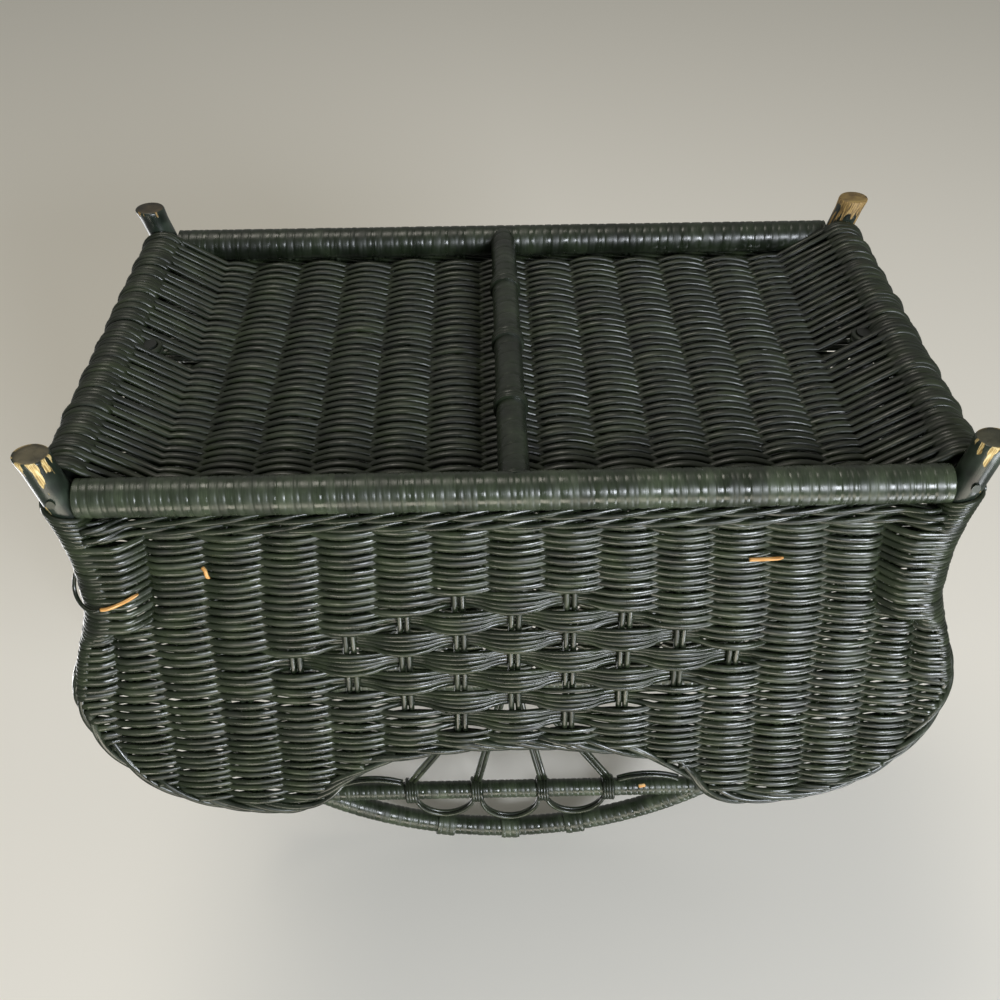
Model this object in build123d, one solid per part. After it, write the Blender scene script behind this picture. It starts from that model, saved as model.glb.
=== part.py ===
# Wicker magazine basket: a woven base on four bent posts, two flared woven sides,
# and an arched divider whose top is the carrying hoop. Both ends are open.
# Millimetres, +Z up. The origin is on the floor, under the middle of the base.
# -Y is the front and +X the right-hand end. Front and back, and left and right, are alike.
import math
import os

from build123d import *

# Clearances
gap = 0.3  # between pieces that lie against each other
nail_clearance = 0.1  # round a nail in its hole

# Posts and rails
frame_length = 399.0  # between post centres at rail height
frame_width = 250.0  # between front and back rail centres
rail_height = 24.0  # rail centres above the floor
rail_diameter = 15.0
end_rail_diameter = 14.0
post_diameter = 15.5
post_lean = 17.0  # degrees that the feet splay outwards
post_bend_rise = 14.0  # from the rail centres to where the bend begins
post_bend_radius = 100.0
post_rise = 75.0  # from the rail centres to the top of a post
foot_flare = 1.5  # how much wider the worn foot is than the post
foot_flare_height = 7.0

# Wound cane and reed
rail_cane = 1.5  # thickness of the cane round the rails
weft_reed = 2.4  # thickness of the weft
end_roll = 6.0  # weft turned round the end rails, in two layers
stake_reed = 3.0  # each reed of a pair in the sides
base_stake_diameter = 3.5
base_stake_count = 13
side_stake_count = 15
stake_peg_depth = 9.0  # how far a stake goes into its rail
side_layer_least = 0.5  # least thickness of a layer of a side's weave, half-way between stakes

# Sides
flare_rise = 60.0  # from the rail centres to where a side begins to lean out
side_rise = 190.5  # from the rail centres to the top of the rim
side_flare = 20.0  # how far the rim leans out
rim_width = 8.0
rim_thickness = 9.0
dip_half_width = 60.0
dip_depth = 34.8  # the middle of the rim below its crests
dip_edge_depth = 29.0
dip_slope_width = 30.0  # from the dip's edge to the slope's middle
dip_slope_depth = 12.5
crest_width = 28.0  # from the slope's middle to the crest
crest_fall_width = 49.5  # from the ear's tip back to where the crest begins to fall
crest_fall_depth = 8.0
ear_reach = 18.0  # the ear's tip beyond the post centres
ear_top_inset = 14.5
ear_top_depth = 33.0
ear_tip_depth = 68.5
ear_foot_inset = 10.0
ear_foot_depth = 104.5
rim_foot_depth = 118.5

# Openwork diamond in each side
band_count = 7
band_pitch = 12.2
band_height = 9.0
band_thickness = 1.6
band_bow = 3.4  # how far a band stands off the middle of the side
band_flat = 5.0  # half of a band's straight stretch at a stake
diamond_drop = 54.7  # centre of the diamond below the dip of the rim
diamond_margin = 5.0  # opening beyond the outermost bare stake

# Rail under the base
cross_rail_diameter = 12.0
cross_cane = 1.2
cross_binding = 1.0
cross_binding_width = 7.0
cross_binding_places = (-60.0, 0.0, 60.0)

# Hoop, its inner bar and the lower bar of the divider
hoop_apex_rise = 390.0  # hoop centre line above the rail centres
hoop_shoulder_rise = 248.0  # from the rail centres to where the legs begin to bend
hoop_shoulder_radius = 120.0
hoop_diameter = 11.0
hoop_cane = 1.4
hoop_foot_drop = 5.0  # leg end below the rail centres
bar_drop = 40.0  # inner bar below the hoop's apex
bar_diameter = 10.0
bar_cane = 1.2
lower_bar_rise = 245.0
binding_reed = 1.2
binding_width = 12.0
binding_places = (-45.0, 0.0, 45.0)
knot_places = (-67.5, -22.5, 22.5, 67.5)
knot_width = 9.0
knot_reed = 2.4
spoke_reed = 3.0
spoke_spread = 7.0  # between spokes on the lower bar
loop_reed = 2.6
loop_inset = 2.5  # how far a loop starts inside its knot
loop_slack = 1.2  # between a loop's crown and the binding over it
end_loop_reach = 27.0  # from the outer knots to the middle of the end loops
end_loop_sag = 4.5

# Nails
nail_diameter = 1.8
nail_head_diameter = 4.0
nail_head_height = 0.8
nail_length = 30.0
nail_stagger = 3.0  # above or below the rail centres, so that two nails pass in a post

# Radii, heights and spacings that follow
stake_pitch = frame_length / side_stake_count
rail_radius = rail_diameter / 2
rail_cane_radius = rail_radius + rail_cane
end_rail_radius = end_rail_diameter / 2
end_roll_radius = end_rail_radius + gap + end_roll
post_radius = post_diameter / 2
post_roll_radius = post_radius + gap + weft_reed
post_x = frame_length / 2
rail_y = frame_width / 2
post_top = rail_height + post_rise
sheet_thickness = stake_reed + 2 * weft_reed
base_thickness = base_stake_diameter + 2 * weft_reed
base_stake_z = rail_height + rail_cane_radius + gap + base_stake_diameter / 2
weave_waist = weft_reed / 2  # half thickness of a woven sheet between stakes
base_top = base_stake_z + base_thickness / 2
base_bottom = base_stake_z - base_thickness / 2
side_bottom = rail_height + rail_cane_radius + gap
flare_z = rail_height + flare_rise
flare_height = side_rise - flare_rise
dip_z = rail_height + side_rise - dip_depth
diamond_z = dip_z - diamond_drop
ear_half_width = post_x + ear_reach
side_layer = stake_reed / 2 + gap  # inner face of each layer of a side's weave, from its middle
flare_radius = (flare_height**2 + side_flare**2) / (2 * side_flare)
hoop_radius = hoop_diameter / 2
hoop_cane_radius = hoop_radius + hoop_cane
leg_x = post_x - end_rail_radius - gap - hoop_radius
leg_roll_radius = hoop_radius + gap + weft_reed
shoulder_x = leg_x - hoop_shoulder_radius
shoulder_z = rail_height + hoop_shoulder_rise
crown_rise = hoop_apex_rise - hoop_shoulder_rise
crown_reach = shoulder_x**2 + crown_rise**2 - hoop_shoulder_radius**2
hoop_crown_radius = crown_reach / (crown_rise - hoop_shoulder_radius) / 2  # touches both shoulders and the apex
crown_z = rail_height + hoop_apex_rise - hoop_crown_radius
bar_cane_radius = bar_diameter / 2 + bar_cane
bar_z = rail_height + hoop_apex_rise - bar_drop
lower_bar_z = rail_height + lower_bar_rise
divider_top = lower_bar_z - bar_cane_radius - gap
knot_radius = bar_cane_radius + gap + knot_reed
cross_radius = cross_rail_diameter / 2
cross_cane_radius = cross_radius + cross_cane
cross_binding_radius = cross_cane_radius + gap + cross_binding
cross_z = base_bottom - gap - cross_binding_radius
post_slope = math.tan(math.radians(post_lean))
over = 40.0  # how far a cutting shape runs past what it cuts


def upright(y=0.0):
    """The X-Z plane at y, with local x along X and local y up."""
    return Plane(origin=(0, y, 0), x_dir=(1, 0, 0), z_dir=(0, -1, 0))


def across(x=0.0):
    """The Y-Z plane at x, with local x along Y and local y up."""
    return Plane(origin=(x, 0, 0), x_dir=(0, 1, 0), z_dir=(1, 0, 0))


def tube(path, outer, inner=0.0):
    """A round bar, or a sleeve where inner is given, along a path."""
    section = Circle(outer)
    if inner:
        section = section - Circle(inner)
    start = Plane(origin=path @ 0, z_dir=path % 0)
    return sweep(sections=start * section, path=path)


def rod(start, end, outer, inner=0.0):
    """A straight bar or sleeve between two points."""
    return tube(Line(start, end), outer, inner)


def left_and_right(solid):
    """A solid and its mirror image at the other end."""
    return [solid, mirror(solid, Plane.YZ)]


def front_to_back(solids):
    """The back copies of front solids."""
    return [mirror(solid, Plane.XZ) for solid in solids]


def write(name, solids):
    """One STEP file for one piece, or for a group of like pieces."""
    loose = [one for solid in solids for one in solid.solids()]
    whole = loose[0] if len(loose) == 1 else Compound(children=loose)
    export_step(whole, os.path.join("parts", name + ".step"))
    print(f"{name:22s} {len(loose):3d} solids {sum(one.volume for one in loose) / 1000:9.2f} cm3")


# Posts


def post_path(z_from, z_to):
    """Centre line of a right-hand post: a foot that leans out, a bend, and an upright."""
    bend_z = rail_height + post_bend_rise
    foot = (post_x + (rail_height - z_from) * post_slope, z_from)
    bend = (post_x + (rail_height - bend_z) * post_slope, bend_z)
    heading = (-math.sin(math.radians(post_lean)), math.cos(math.radians(post_lean)))
    curve = JernArc(bend, heading, post_bend_radius, -post_lean)
    head = curve @ 1
    return Line(foot, bend) + curve + Line(head, (head.X, z_to))


def front_post():
    """The right-hand front post, cut flat where it stands on the floor."""
    path = upright(-rail_y) * post_path(-foot_flare_height, post_top)
    foot_x = post_x + rail_height * post_slope
    heading = (-math.sin(math.radians(post_lean)), 0, math.cos(math.radians(post_lean)))
    worn_end = Plane(origin=(foot_x, -rail_y, 0), z_dir=heading) * Cone(
        post_radius + foot_flare / 2,
        post_radius,
        foot_flare_height * 2,
    )
    below_floor = Pos(foot_x, -rail_y, -over / 2) * Box(over * 2, over * 2, over)
    return tube(path, post_radius) + worn_end - below_floor


def post_room(extra, z_from=0.0, z_to=post_top + gap):
    """All four posts grown by a clearance, to cut what meets them."""
    right = tube(upright(-rail_y) * post_path(z_from, z_to), post_radius + extra)
    pair = left_and_right(right)
    return pair + front_to_back(pair)


# Rails


def front_rail(outer, inner=0.0):
    """A bar or sleeve from post to post along the front, clear of the end rails."""
    reach = post_x - end_rail_radius - gap
    bar = rod((-reach, -rail_y, rail_height), (reach, -rail_y, rail_height), outer, inner)
    for post in post_room(gap, -gap, post_top):
        bar = bar - post
    return bar


def end_rail():
    """The bar from front post to back post at the right-hand end."""
    bar = rod((post_x, -rail_y, rail_height), (post_x, rail_y, rail_height), end_rail_radius)
    for post in post_room(gap, -gap, post_top):
        bar = bar - post
    return bar


def rail_room():
    """The wrapped front and back rails grown by a clearance."""
    grown = rail_cane_radius + gap
    front = rod((-post_x, -rail_y, rail_height), (post_x, -rail_y, rail_height), grown)
    return [front, mirror(front, Plane.XZ)]


def cross_rail(outer, inner=0.0):
    """The bar or sleeve under the middle of the base, between the wrapped rails."""
    bar = rod((0, -rail_y, cross_z), (0, rail_y, cross_z), outer, inner)
    for rail in rail_room():
        bar = bar - rail
    return bar


def cross_bindings():
    """Rings of cane round the cross rail."""
    inner = cross_cane_radius + gap
    half = cross_binding_width / 2
    return [
        rod((0, y - half, cross_z), (0, y + half, cross_z), cross_binding_radius, inner)
        for y in cross_binding_places
    ]


# Base


def stake_places(count):
    """Places of evenly spaced stakes along X."""
    return [(i - (count - 1) / 2) * stake_pitch for i in range(count)]


def base_stakes(extra=0.0):
    """Single stakes from front to back through the base."""
    reach = rail_y - sheet_thickness / 2 - gap
    return [
        rod((x, -reach, base_stake_z), (x, reach, base_stake_z), base_stake_diameter / 2 + extra)
        for x in stake_places(base_stake_count)
    ]


def base_weave():
    """The woven floor, whose weft turns round both end rails and leaves room for the hoop's legs."""
    inside_posts = 2 * (rail_y - post_roll_radius - gap)
    inside_sides = 2 * (rail_y - sheet_thickness / 2 - gap)
    between_posts = 2 * (post_x - post_slope * (base_top - rail_height) - post_roll_radius - gap)
    narrow = Box(2 * post_x, inside_posts, base_thickness)
    wide = Box(between_posts, inside_sides, base_thickness)
    sheet = Pos(0, 0, base_stake_z) * (narrow + wide)
    roll_reach = rail_y - post_roll_radius - gap
    ends = ((post_x, -roll_reach, rail_height), (post_x, roll_reach, rail_height))
    for roll in left_and_right(rod(*ends, end_roll_radius)):
        sheet = sheet + roll
    for core in left_and_right(rod(*ends, end_rail_radius + gap)):
        sheet = sheet - core
    for rail in rail_room():
        sheet = sheet - rail
    leg_room = 2 * (hoop_radius + weft_reed)
    notch_x = leg_x - hoop_radius - weft_reed + over / 2
    notch = Pos(notch_x, 0, rail_height) * Box(over, leg_room, over)
    for side_notch in left_and_right(notch):
        sheet = sheet - side_notch
    for stake in base_stakes(gap):
        sheet = sheet - stake
    return sheet


# Sides


def scallops(count, crest, valley):
    """Arcs that bulge over evenly spaced stakes and meet half-way between them."""
    half = stake_pitch / 2
    return [
        ThreePointArc((x - half, valley), (x, crest), (x + half, valley)) for x in stake_places(count)
    ]


def side_layer_sheet(outwards):
    """One layer of the side's weave, bulged over the stakes, which follows the side's curve.

    outwards is -1 for the layer in front of the stakes and 1 for the one behind them.
    """
    stakes_across = side_stake_count + 2
    edge = scallops(stakes_across, outwards * sheet_thickness / 2, outwards * (side_layer + side_layer_least))
    reach = stakes_across * stake_pitch / 2
    flat = [(reach, outwards * side_layer), (-reach, outwards * side_layer)]
    ends = [Line(edge[-1] @ 1, flat[0]), Line(*flat), Line(flat[1], edge[0] @ 0)]
    section = Pos(0, -rail_y, side_bottom) * make_face(edge + ends)
    turn = math.degrees(math.asin(min(1.0, (flare_height + rim_width) / flare_radius)))
    centre = (-rail_y - flare_radius, flare_z)
    path = across() * (Line((-rail_y, side_bottom), (-rail_y, flare_z)) + CenterArc(centre, flare_radius, 0, turn))
    return sweep(sections=section, path=path)


def side_band(y_from, y_to, z_low):
    """A curved sheet along the front side: upright from z_low, then leaning out on an arc.

    y_from and y_to are its faces, measured from the middle of the side.
    """
    turn = math.degrees(math.asin(min(1.0, (flare_height + rim_width) / flare_radius)))
    centre = (-rail_y - flare_radius, flare_z)
    back = CenterArc(centre, flare_radius + y_to, 0, turn)
    front = CenterArc(centre, flare_radius + y_from, 0, turn)
    low_back = (-rail_y + y_to, z_low)
    low_front = (-rail_y + y_from, z_low)
    edges = [
        Line(low_back, back @ 0),
        back,
        Line(back @ 1, front @ 1),
        front,
        Line(front @ 0, low_front),
        Line(low_front, low_back),
    ]
    reach = ear_half_width + over
    return extrude(across(-reach) * make_face(edges), amount=2 * reach)


def lean_out(z):
    """How far the side's middle leans out of upright at a height."""
    above = max(0.0, z - flare_z)
    return flare_radius - math.sqrt(flare_radius**2 - above**2)


def side_outline():
    """Outer outline of a side, drawn flat: dip, crests and ears as one run of tangent arcs."""
    slope_x = dip_half_width + dip_slope_width
    points = [
        (0.0, dip_depth),
        (dip_half_width, dip_edge_depth),
        (slope_x, dip_slope_depth),
        (slope_x + crest_width, 0.0),
        (ear_half_width - crest_fall_width, crest_fall_depth),
        (ear_half_width - ear_top_inset, ear_top_depth),
        (ear_half_width, ear_tip_depth),
        (ear_half_width - ear_foot_inset, ear_foot_depth),
        (post_x, rim_foot_depth),
    ]
    points = [(x, rail_height + side_rise - depth) for x, depth in points]
    heading = Vector(1, 0)
    arcs = []
    for start, end in zip(points, points[1:]):
        arc = TangentArc([start, end], tangent=heading)
        heading = arc % 1
        arcs.append(arc)
    low = (post_x, side_bottom)
    edges = arcs + [Line(points[-1], low), Line(low, (0, side_bottom)), Line((0, side_bottom), points[0])]
    half = make_face(edges)
    return half + mirror(half, Plane.YZ)


def above(z):
    """A flat area above a height, to trim outlines."""
    return Pos(0, z + side_rise) * Rectangle(2 * (ear_half_width + over), 2 * side_rise)


def side_prism(face):
    """A flat outline carried from front to back through the front side."""
    return extrude(upright(-rail_y + over) * face, amount=2 * over + side_flare)


def inside_rim():
    """Flat outline of the weave: inside the rim above, and from post to post below."""
    rim_start = post_top + 2 * gap
    upper = offset(side_outline(), amount=-(rim_width + gap)) & above(rim_start - gap)
    inner_edge = post_head_x() - post_roll_radius / 2
    lower_height = rim_start - side_bottom
    lower = Pos(0, side_bottom + lower_height / 2) * Rectangle(2 * inner_edge, lower_height)
    return upper + lower


def post_head_x():
    """Where the upright of a post stands, along X."""
    path = post_path(0, post_top)
    return (path @ 1).X


def side_rim():
    """The plaited border along the top and ears of the front side."""
    outline = side_outline()
    ring = (outline - offset(outline, amount=-rim_width)) & above(post_top + 2 * gap)
    return side_prism(ring) & side_band(-rim_thickness / 2, rim_thickness / 2, side_bottom)


def stake_start(place):
    """Lowest point of a side stake: in its rail, or on a post's head for the outermost ones."""
    if abs(place) > post_head_x() - post_roll_radius - stake_reed:
        return post_top + 2 * gap
    return rail_height + rail_cane_radius - stake_peg_depth


def side_stakes():
    """Paired reeds that stand in the front rail and follow the side's curve up to the rim."""
    prism = side_prism(inside_rim() + Pos(0, side_bottom) * Rectangle(2 * post_x, over))
    turn = math.degrees(math.asin(flare_height / flare_radius))
    centre = (-rail_y - flare_radius, flare_z)
    stakes = []
    for place in stake_places(side_stake_count):
        for shift in (-1, 1):
            x = place + shift * (stake_reed + gap) / 2
            curve = CenterArc(centre, flare_radius, 0, turn)
            low = stake_start(place)
            if low < flare_z:
                path = across(x) * (Line((-rail_y, low), (-rail_y, flare_z)) + curve)
            else:
                lift = math.degrees(math.asin((low - flare_z) / flare_radius))
                path = across(x) * CenterArc(centre, flare_radius, lift, turn - lift)
            stakes.append(tube(path, stake_reed / 2) & prism)
    return stakes


def stake_holes():
    """Room for each pair of side stakes in the front rail and its cane."""
    width = 2 * stake_reed + 3 * gap
    low = rail_height + rail_cane_radius - stake_peg_depth - gap
    holes = []
    for place in stake_places(side_stake_count):
        if stake_start(place) < rail_height + rail_cane_radius:
            holes.append(Pos(place, -rail_y, low + over / 2) * Box(width, stake_reed + 2 * gap, over))
    return holes


def bands():
    """Height, reach in stakes and place of each open band, lowest first."""
    middle = (band_count - 1) // 2
    for row in range(band_count):
        z = diamond_z + (row - middle) * band_pitch
        yield z, middle + 1 - abs(row - middle)


def open_bands():
    """Flat bands that pass in front of every second stake across the diamond."""
    ribbons = []
    for z, reach in bands():
        line = []
        for i in range(-reach, reach + 1):
            y = band_bow if (i - reach) % 2 == 0 else -band_bow
            line += [(i * stake_pitch - band_flat, y), (i * stake_pitch + band_flat, y)]
        half_length = reach * stake_pitch + diamond_margin - gap
        line[0] = (-half_length, band_bow)
        line[-1] = (half_length, band_bow)
        near = [(x, y - band_thickness / 2) for x, y in line]
        far = [(x, y + band_thickness / 2) for x, y in reversed(line)]
        plan = make_face(Polyline(*near, *far, close=True))
        place = Plane(origin=(0, -rail_y - lean_out(z), z - band_height / 2))
        ribbons.append(extrude(place * plan, amount=band_height))
    return ribbons


def side_weave():
    """The front side's weave: an outer and an inner layer of weft that meet round both posts.

    The stakes stand between the layers, and a stepped diamond is left open.
    """
    diamond = [
        Pos(0, z) * Rectangle(2 * (reach * stake_pitch + diamond_margin), band_pitch + gap)
        for z, reach in bands()
    ]
    prism = side_prism(inside_rim() - diamond)
    weave = prism & side_layer_sheet(-1)
    roll = tube(upright(-rail_y) * post_path(rail_height, post_top), post_roll_radius)
    for end_roll in left_and_right(roll & side_prism(above(side_bottom))):
        weave = weave + end_roll
    weave = weave + (prism & side_layer_sheet(1))
    for post in left_and_right(tube(upright(-rail_y) * post_path(0, post_top + gap), post_radius + gap)):
        weave = weave - post
    return weave


# Divider and hoop


def hoop_path(z_from):
    """Centre line of the hoop from the right leg over the crown to the left leg."""
    turn = math.degrees(math.atan2(shoulder_z - crown_z, shoulder_x))
    right_leg = Line((leg_x, z_from), (leg_x, shoulder_z))
    right = JernArc((leg_x, shoulder_z), (0, 1), hoop_shoulder_radius, turn)
    crown = JernArc(right @ 1, right % 1, hoop_crown_radius, 180 - 2 * turn)
    left = JernArc(crown @ 1, crown % 1, hoop_shoulder_radius, turn)
    left_leg = Line((-leg_x, shoulder_z), (-leg_x, z_from))
    return upright() * (right_leg + right + crown + left + left_leg)


def hoop_room():
    """The wrapped hoop grown by a clearance."""
    return tube(hoop_path(rail_height), hoop_cane_radius + gap)


def hoop_centre_z(x):
    """Height of the hoop's centre line under its crown."""
    return crown_z + math.sqrt(hoop_crown_radius**2 - x**2)


def hoop_bindings():
    """Flat bands of reed round the hoop where the loops are tied to it."""
    inner = hoop_cane_radius + gap
    half_turn = math.degrees(binding_width / 2 / hoop_crown_radius)
    rings = []
    for x in binding_places:
        angle = 90 - math.degrees(math.asin(x / hoop_crown_radius))
        arc = CenterArc((0, crown_z), hoop_crown_radius, angle - half_turn, 2 * half_turn)
        rings.append(tube(upright() * arc, inner + binding_reed, inner))
    return rings


def divider_bar(z, reach, outer, inner=0.0):
    """A straight bar or sleeve across the hoop, shaped to it at both ends."""
    bar = rod((-reach, 0, z), (reach, 0, z), outer, inner)
    return bar - hoop_room()


def inner_bar_reach():
    """Half length of the inner bar, to the hoop's centre line."""
    return math.sqrt(hoop_crown_radius**2 - (bar_z - crown_z) ** 2)


def divider_stakes(extra=0.0):
    """Single stakes from the base up to the lower bar."""
    low = base_top + gap - extra
    return [
        rod((x, 0, low), (x, 0, divider_top + extra), base_stake_diameter / 2 + extra)
        for x in stake_places(base_stake_count)
    ]


def divider_weave():
    """The woven divider, turned round both legs of the hoop."""
    low = base_top + gap
    back = scallops(base_stake_count, base_thickness / 2, weave_waist)
    front = scallops(base_stake_count, -base_thickness / 2, -weave_waist)
    right = [(leg_x, weave_waist), (leg_x, -weave_waist)]
    left = [(-leg_x, weave_waist), (-leg_x, -weave_waist)]
    edges = back + [Line(back[-1] @ 1, right[0]), Line(*right), Line(right[1], front[-1] @ 1)]
    edges += front + [Line(front[0] @ 0, left[1]), Line(*left), Line(left[0], back[0] @ 0)]
    sheet = extrude(Pos(0, 0, low) * make_face(edges), amount=divider_top - low)
    for roll in left_and_right(rod((leg_x, 0, low), (leg_x, 0, divider_top), leg_roll_radius)):
        sheet = sheet + roll
    for leg in left_and_right(rod((leg_x, 0, 0), (leg_x, 0, divider_top + over), hoop_radius + gap)):
        sheet = sheet - leg
    for stake in divider_stakes(gap):
        sheet = sheet - stake
    return sheet


def knots():
    """Lashings round the inner bar that hold the spokes and loops."""
    inner = bar_cane_radius + gap
    half = knot_width / 2
    return [rod((x - half, 0, bar_z), (x + half, 0, bar_z), knot_radius, inner) for x in knot_places]


def spokes():
    """Four pairs of reeds that fan out from the lower bar to the knots."""
    low = lower_bar_z + bar_cane_radius + gap
    high = bar_z - knot_radius - gap
    reeds = []
    for number, x in enumerate(knot_places):
        foot = (number - (len(knot_places) - 1) / 2) * spoke_spread
        run = Vector(x - foot, 0, high - low).normalized()
        aside = Vector(run.Z, 0, -run.X) * ((spoke_reed + gap) / 2)
        lift = run * ((spoke_reed + gap) * abs(run.X) / run.Z + gap)
        for sign in (-1, 1):
            start = Vector(foot, 0, low) + aside * sign + lift
            end = Vector(x, 0, high) + aside * sign - lift
            reeds.append(rod(start, end, spoke_reed / 2))
    return reeds


def loops():
    """Pairs of reeds bent between the knots and up to the hoop, and out to the hoop's ends."""
    low = bar_z + knot_radius + 2 * gap
    reeds = []
    for y in (-(loop_reed + gap) / 2, (loop_reed + gap) / 2):
        for left, right in zip(knot_places, knot_places[1:]):
            middle = (left + right) / 2
            binding_z = hoop_centre_z(middle) - hoop_cane_radius - gap - binding_reed
            top = binding_z - loop_slack - loop_reed / 2
            arc = ThreePointArc((left + loop_inset, low), (middle, top), (right - loop_inset, low))
            reeds.append(tube(upright(y) * arc, loop_reed / 2))
        reeds += left_and_right(tube(upright(y) * end_loop_arc(), loop_reed / 2) - hoop_room())
    return reeds


def end_loop_arc():
    """Arc under the inner bar from the right outer knot to the hoop."""
    z = bar_z - bar_cane_radius - gap - loop_reed / 2
    start = knot_places[-1] + (knot_width + loop_reed) / 2 + gap
    middle = knot_places[-1] + end_loop_reach
    reach = 2 * middle - start
    return ThreePointArc((start, z), (middle, z - end_loop_sag), (reach, z))


# Nails


def nail(point, direction, extra=0.0):
    """A nail whose head lies at a point and whose shank runs along a direction."""
    seat = Plane(origin=point, z_dir=direction)
    shank = Pos(0, 0, nail_length / 2) * Cylinder(nail_diameter / 2 + extra, nail_length + 2 * extra)
    if extra:
        return seat * shank
    head = Pos(0, 0, -nail_head_height / 2) * Cylinder(nail_head_diameter / 2, nail_head_height)
    return seat * (shank + head)


def nails(extra=0.0):
    """Nails through the posts into the rails, and through the end rails into the hoop's legs."""
    side_z = rail_height + nail_stagger
    end_z = rail_height - nail_stagger
    half_across = post_radius / math.cos(math.radians(post_lean))
    outside_x = post_x + (nail_head_diameter / 2 - nail_stagger) * post_slope + half_across + gap
    outside_y = rail_y + post_radius + gap
    right = [
        nail((outside_x, -rail_y, side_z), (-1, 0, 0), extra),
        nail((post_x + nail_stagger * post_slope, -outside_y, end_z), (0, 1, 0), extra),
    ]
    right += front_to_back(right)
    right.append(nail((post_x + end_rail_radius + gap, 0, rail_height), (-1, 0, 0), extra))
    return [one for solid in right for one in left_and_right(solid)]


def without(solid, cutters):
    """A solid with holes cut by each cutter."""
    for cutter in cutters:
        solid = solid - cutter
    return solid


def make_all():
    os.makedirs("parts", exist_ok=True)
    holes = nails(nail_clearance)

    post = front_post()
    posts = left_and_right(post)
    back_posts = front_to_back(posts)
    write("front_post_right", [without(posts[0], holes)])
    write("front_post_left", [without(posts[1], holes)])
    write("back_post_right", [without(back_posts[0], holes)])
    write("back_post_left", [without(back_posts[1], holes)])

    rail = without(front_rail(rail_radius), holes + stake_holes())
    cane = without(front_rail(rail_cane_radius, rail_radius + gap / 2), stake_holes())
    write("front_rail", [rail])
    write("back_rail", front_to_back([rail]))
    write("front_rail_cane", [cane])
    write("back_rail_cane", front_to_back([cane]))
    right_rail, left_rail = left_and_right(without(end_rail(), holes))
    write("right_end_rail", [right_rail])
    write("left_end_rail", [left_rail])

    write("cross_rail", [cross_rail(cross_radius)])
    write("cross_rail_cane", [cross_rail(cross_cane_radius, cross_radius + gap / 2)])
    write("cross_rail_bindings", cross_bindings())
    write("base_stakes", base_stakes())
    write("base_weave", [base_weave()])

    stakes = side_stakes()
    weave = side_weave()
    ribbons = open_bands()
    rim = side_rim()
    for side, place in (("front", list), ("back", front_to_back)):
        write(side + "_stakes", place(stakes))
        write(side + "_weave", place([weave]))
        write(side + "_open_bands", place(ribbons))
        write(side + "_rim", place([rim]))

    hoop = tube(hoop_path(rail_height - hoop_foot_drop), hoop_radius)
    write("hoop", [without(hoop, holes)])
    write("hoop_cane", [tube(hoop_path(divider_top + gap), hoop_cane_radius, hoop_radius + gap / 2)])
    write("hoop_bindings", hoop_bindings())
    reach = inner_bar_reach()
    write("inner_bar", [divider_bar(bar_z, reach, bar_diameter / 2)])
    write("inner_bar_cane", [divider_bar(bar_z, reach, bar_cane_radius, bar_diameter / 2 + gap / 2)])
    write("lower_bar", [divider_bar(lower_bar_z, leg_x, bar_diameter / 2)])
    write("lower_bar_cane", [divider_bar(lower_bar_z, leg_x, bar_cane_radius, bar_diameter / 2 + gap / 2)])
    write("divider_stakes", divider_stakes())
    write("divider_weave", [divider_weave()])
    write("knots", knots())
    write("spokes", spokes())
    write("loops", loops())
    write("nails", nails())


make_all()
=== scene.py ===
# %% [markdown]
# # A painted wicker magazine basket
# An old basket of bent cane posts, woven reed sides, a woven base and a woven divider whose
# hoop is the handle. It is seen upside-down from below, the way it was photographed, and the
# model itself stands upright on its feet. Every reed is laid as its own tube, because round
# strands and the dark slots between them make nearly all of the light on a wicker piece.

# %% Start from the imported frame
import math

import bpy
import numpy as np
from mathutils import Matrix, Vector


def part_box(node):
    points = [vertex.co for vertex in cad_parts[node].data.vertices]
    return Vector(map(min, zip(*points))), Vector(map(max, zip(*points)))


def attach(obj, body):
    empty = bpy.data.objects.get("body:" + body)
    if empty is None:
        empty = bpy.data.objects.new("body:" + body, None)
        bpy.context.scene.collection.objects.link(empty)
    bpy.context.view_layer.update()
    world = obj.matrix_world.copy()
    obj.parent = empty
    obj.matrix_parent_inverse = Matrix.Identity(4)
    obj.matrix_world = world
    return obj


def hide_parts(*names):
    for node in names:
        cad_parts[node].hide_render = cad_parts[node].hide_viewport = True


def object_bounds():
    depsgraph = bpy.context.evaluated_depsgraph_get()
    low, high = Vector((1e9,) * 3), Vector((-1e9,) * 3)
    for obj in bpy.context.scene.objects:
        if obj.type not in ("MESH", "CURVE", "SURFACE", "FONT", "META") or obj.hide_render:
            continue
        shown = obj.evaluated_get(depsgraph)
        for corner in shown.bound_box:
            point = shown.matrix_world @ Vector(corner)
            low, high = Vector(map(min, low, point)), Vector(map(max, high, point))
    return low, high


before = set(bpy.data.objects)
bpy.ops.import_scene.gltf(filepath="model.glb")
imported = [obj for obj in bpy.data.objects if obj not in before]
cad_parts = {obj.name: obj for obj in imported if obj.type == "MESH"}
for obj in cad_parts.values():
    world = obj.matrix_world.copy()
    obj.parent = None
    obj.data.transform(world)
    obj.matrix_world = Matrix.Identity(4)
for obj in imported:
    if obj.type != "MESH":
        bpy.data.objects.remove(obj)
cad_low, cad_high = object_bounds()
print("CAD box", [round(v, 4) for v in cad_low], [round(v, 4) for v in cad_high])

# %% [markdown]
# ## Sizes
# All lengths are in millimetres until a mesh is made. They are the joiner's and weaver's
# sizes: where the posts stand, how thick the reed is, and how far apart the stakes are.

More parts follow.
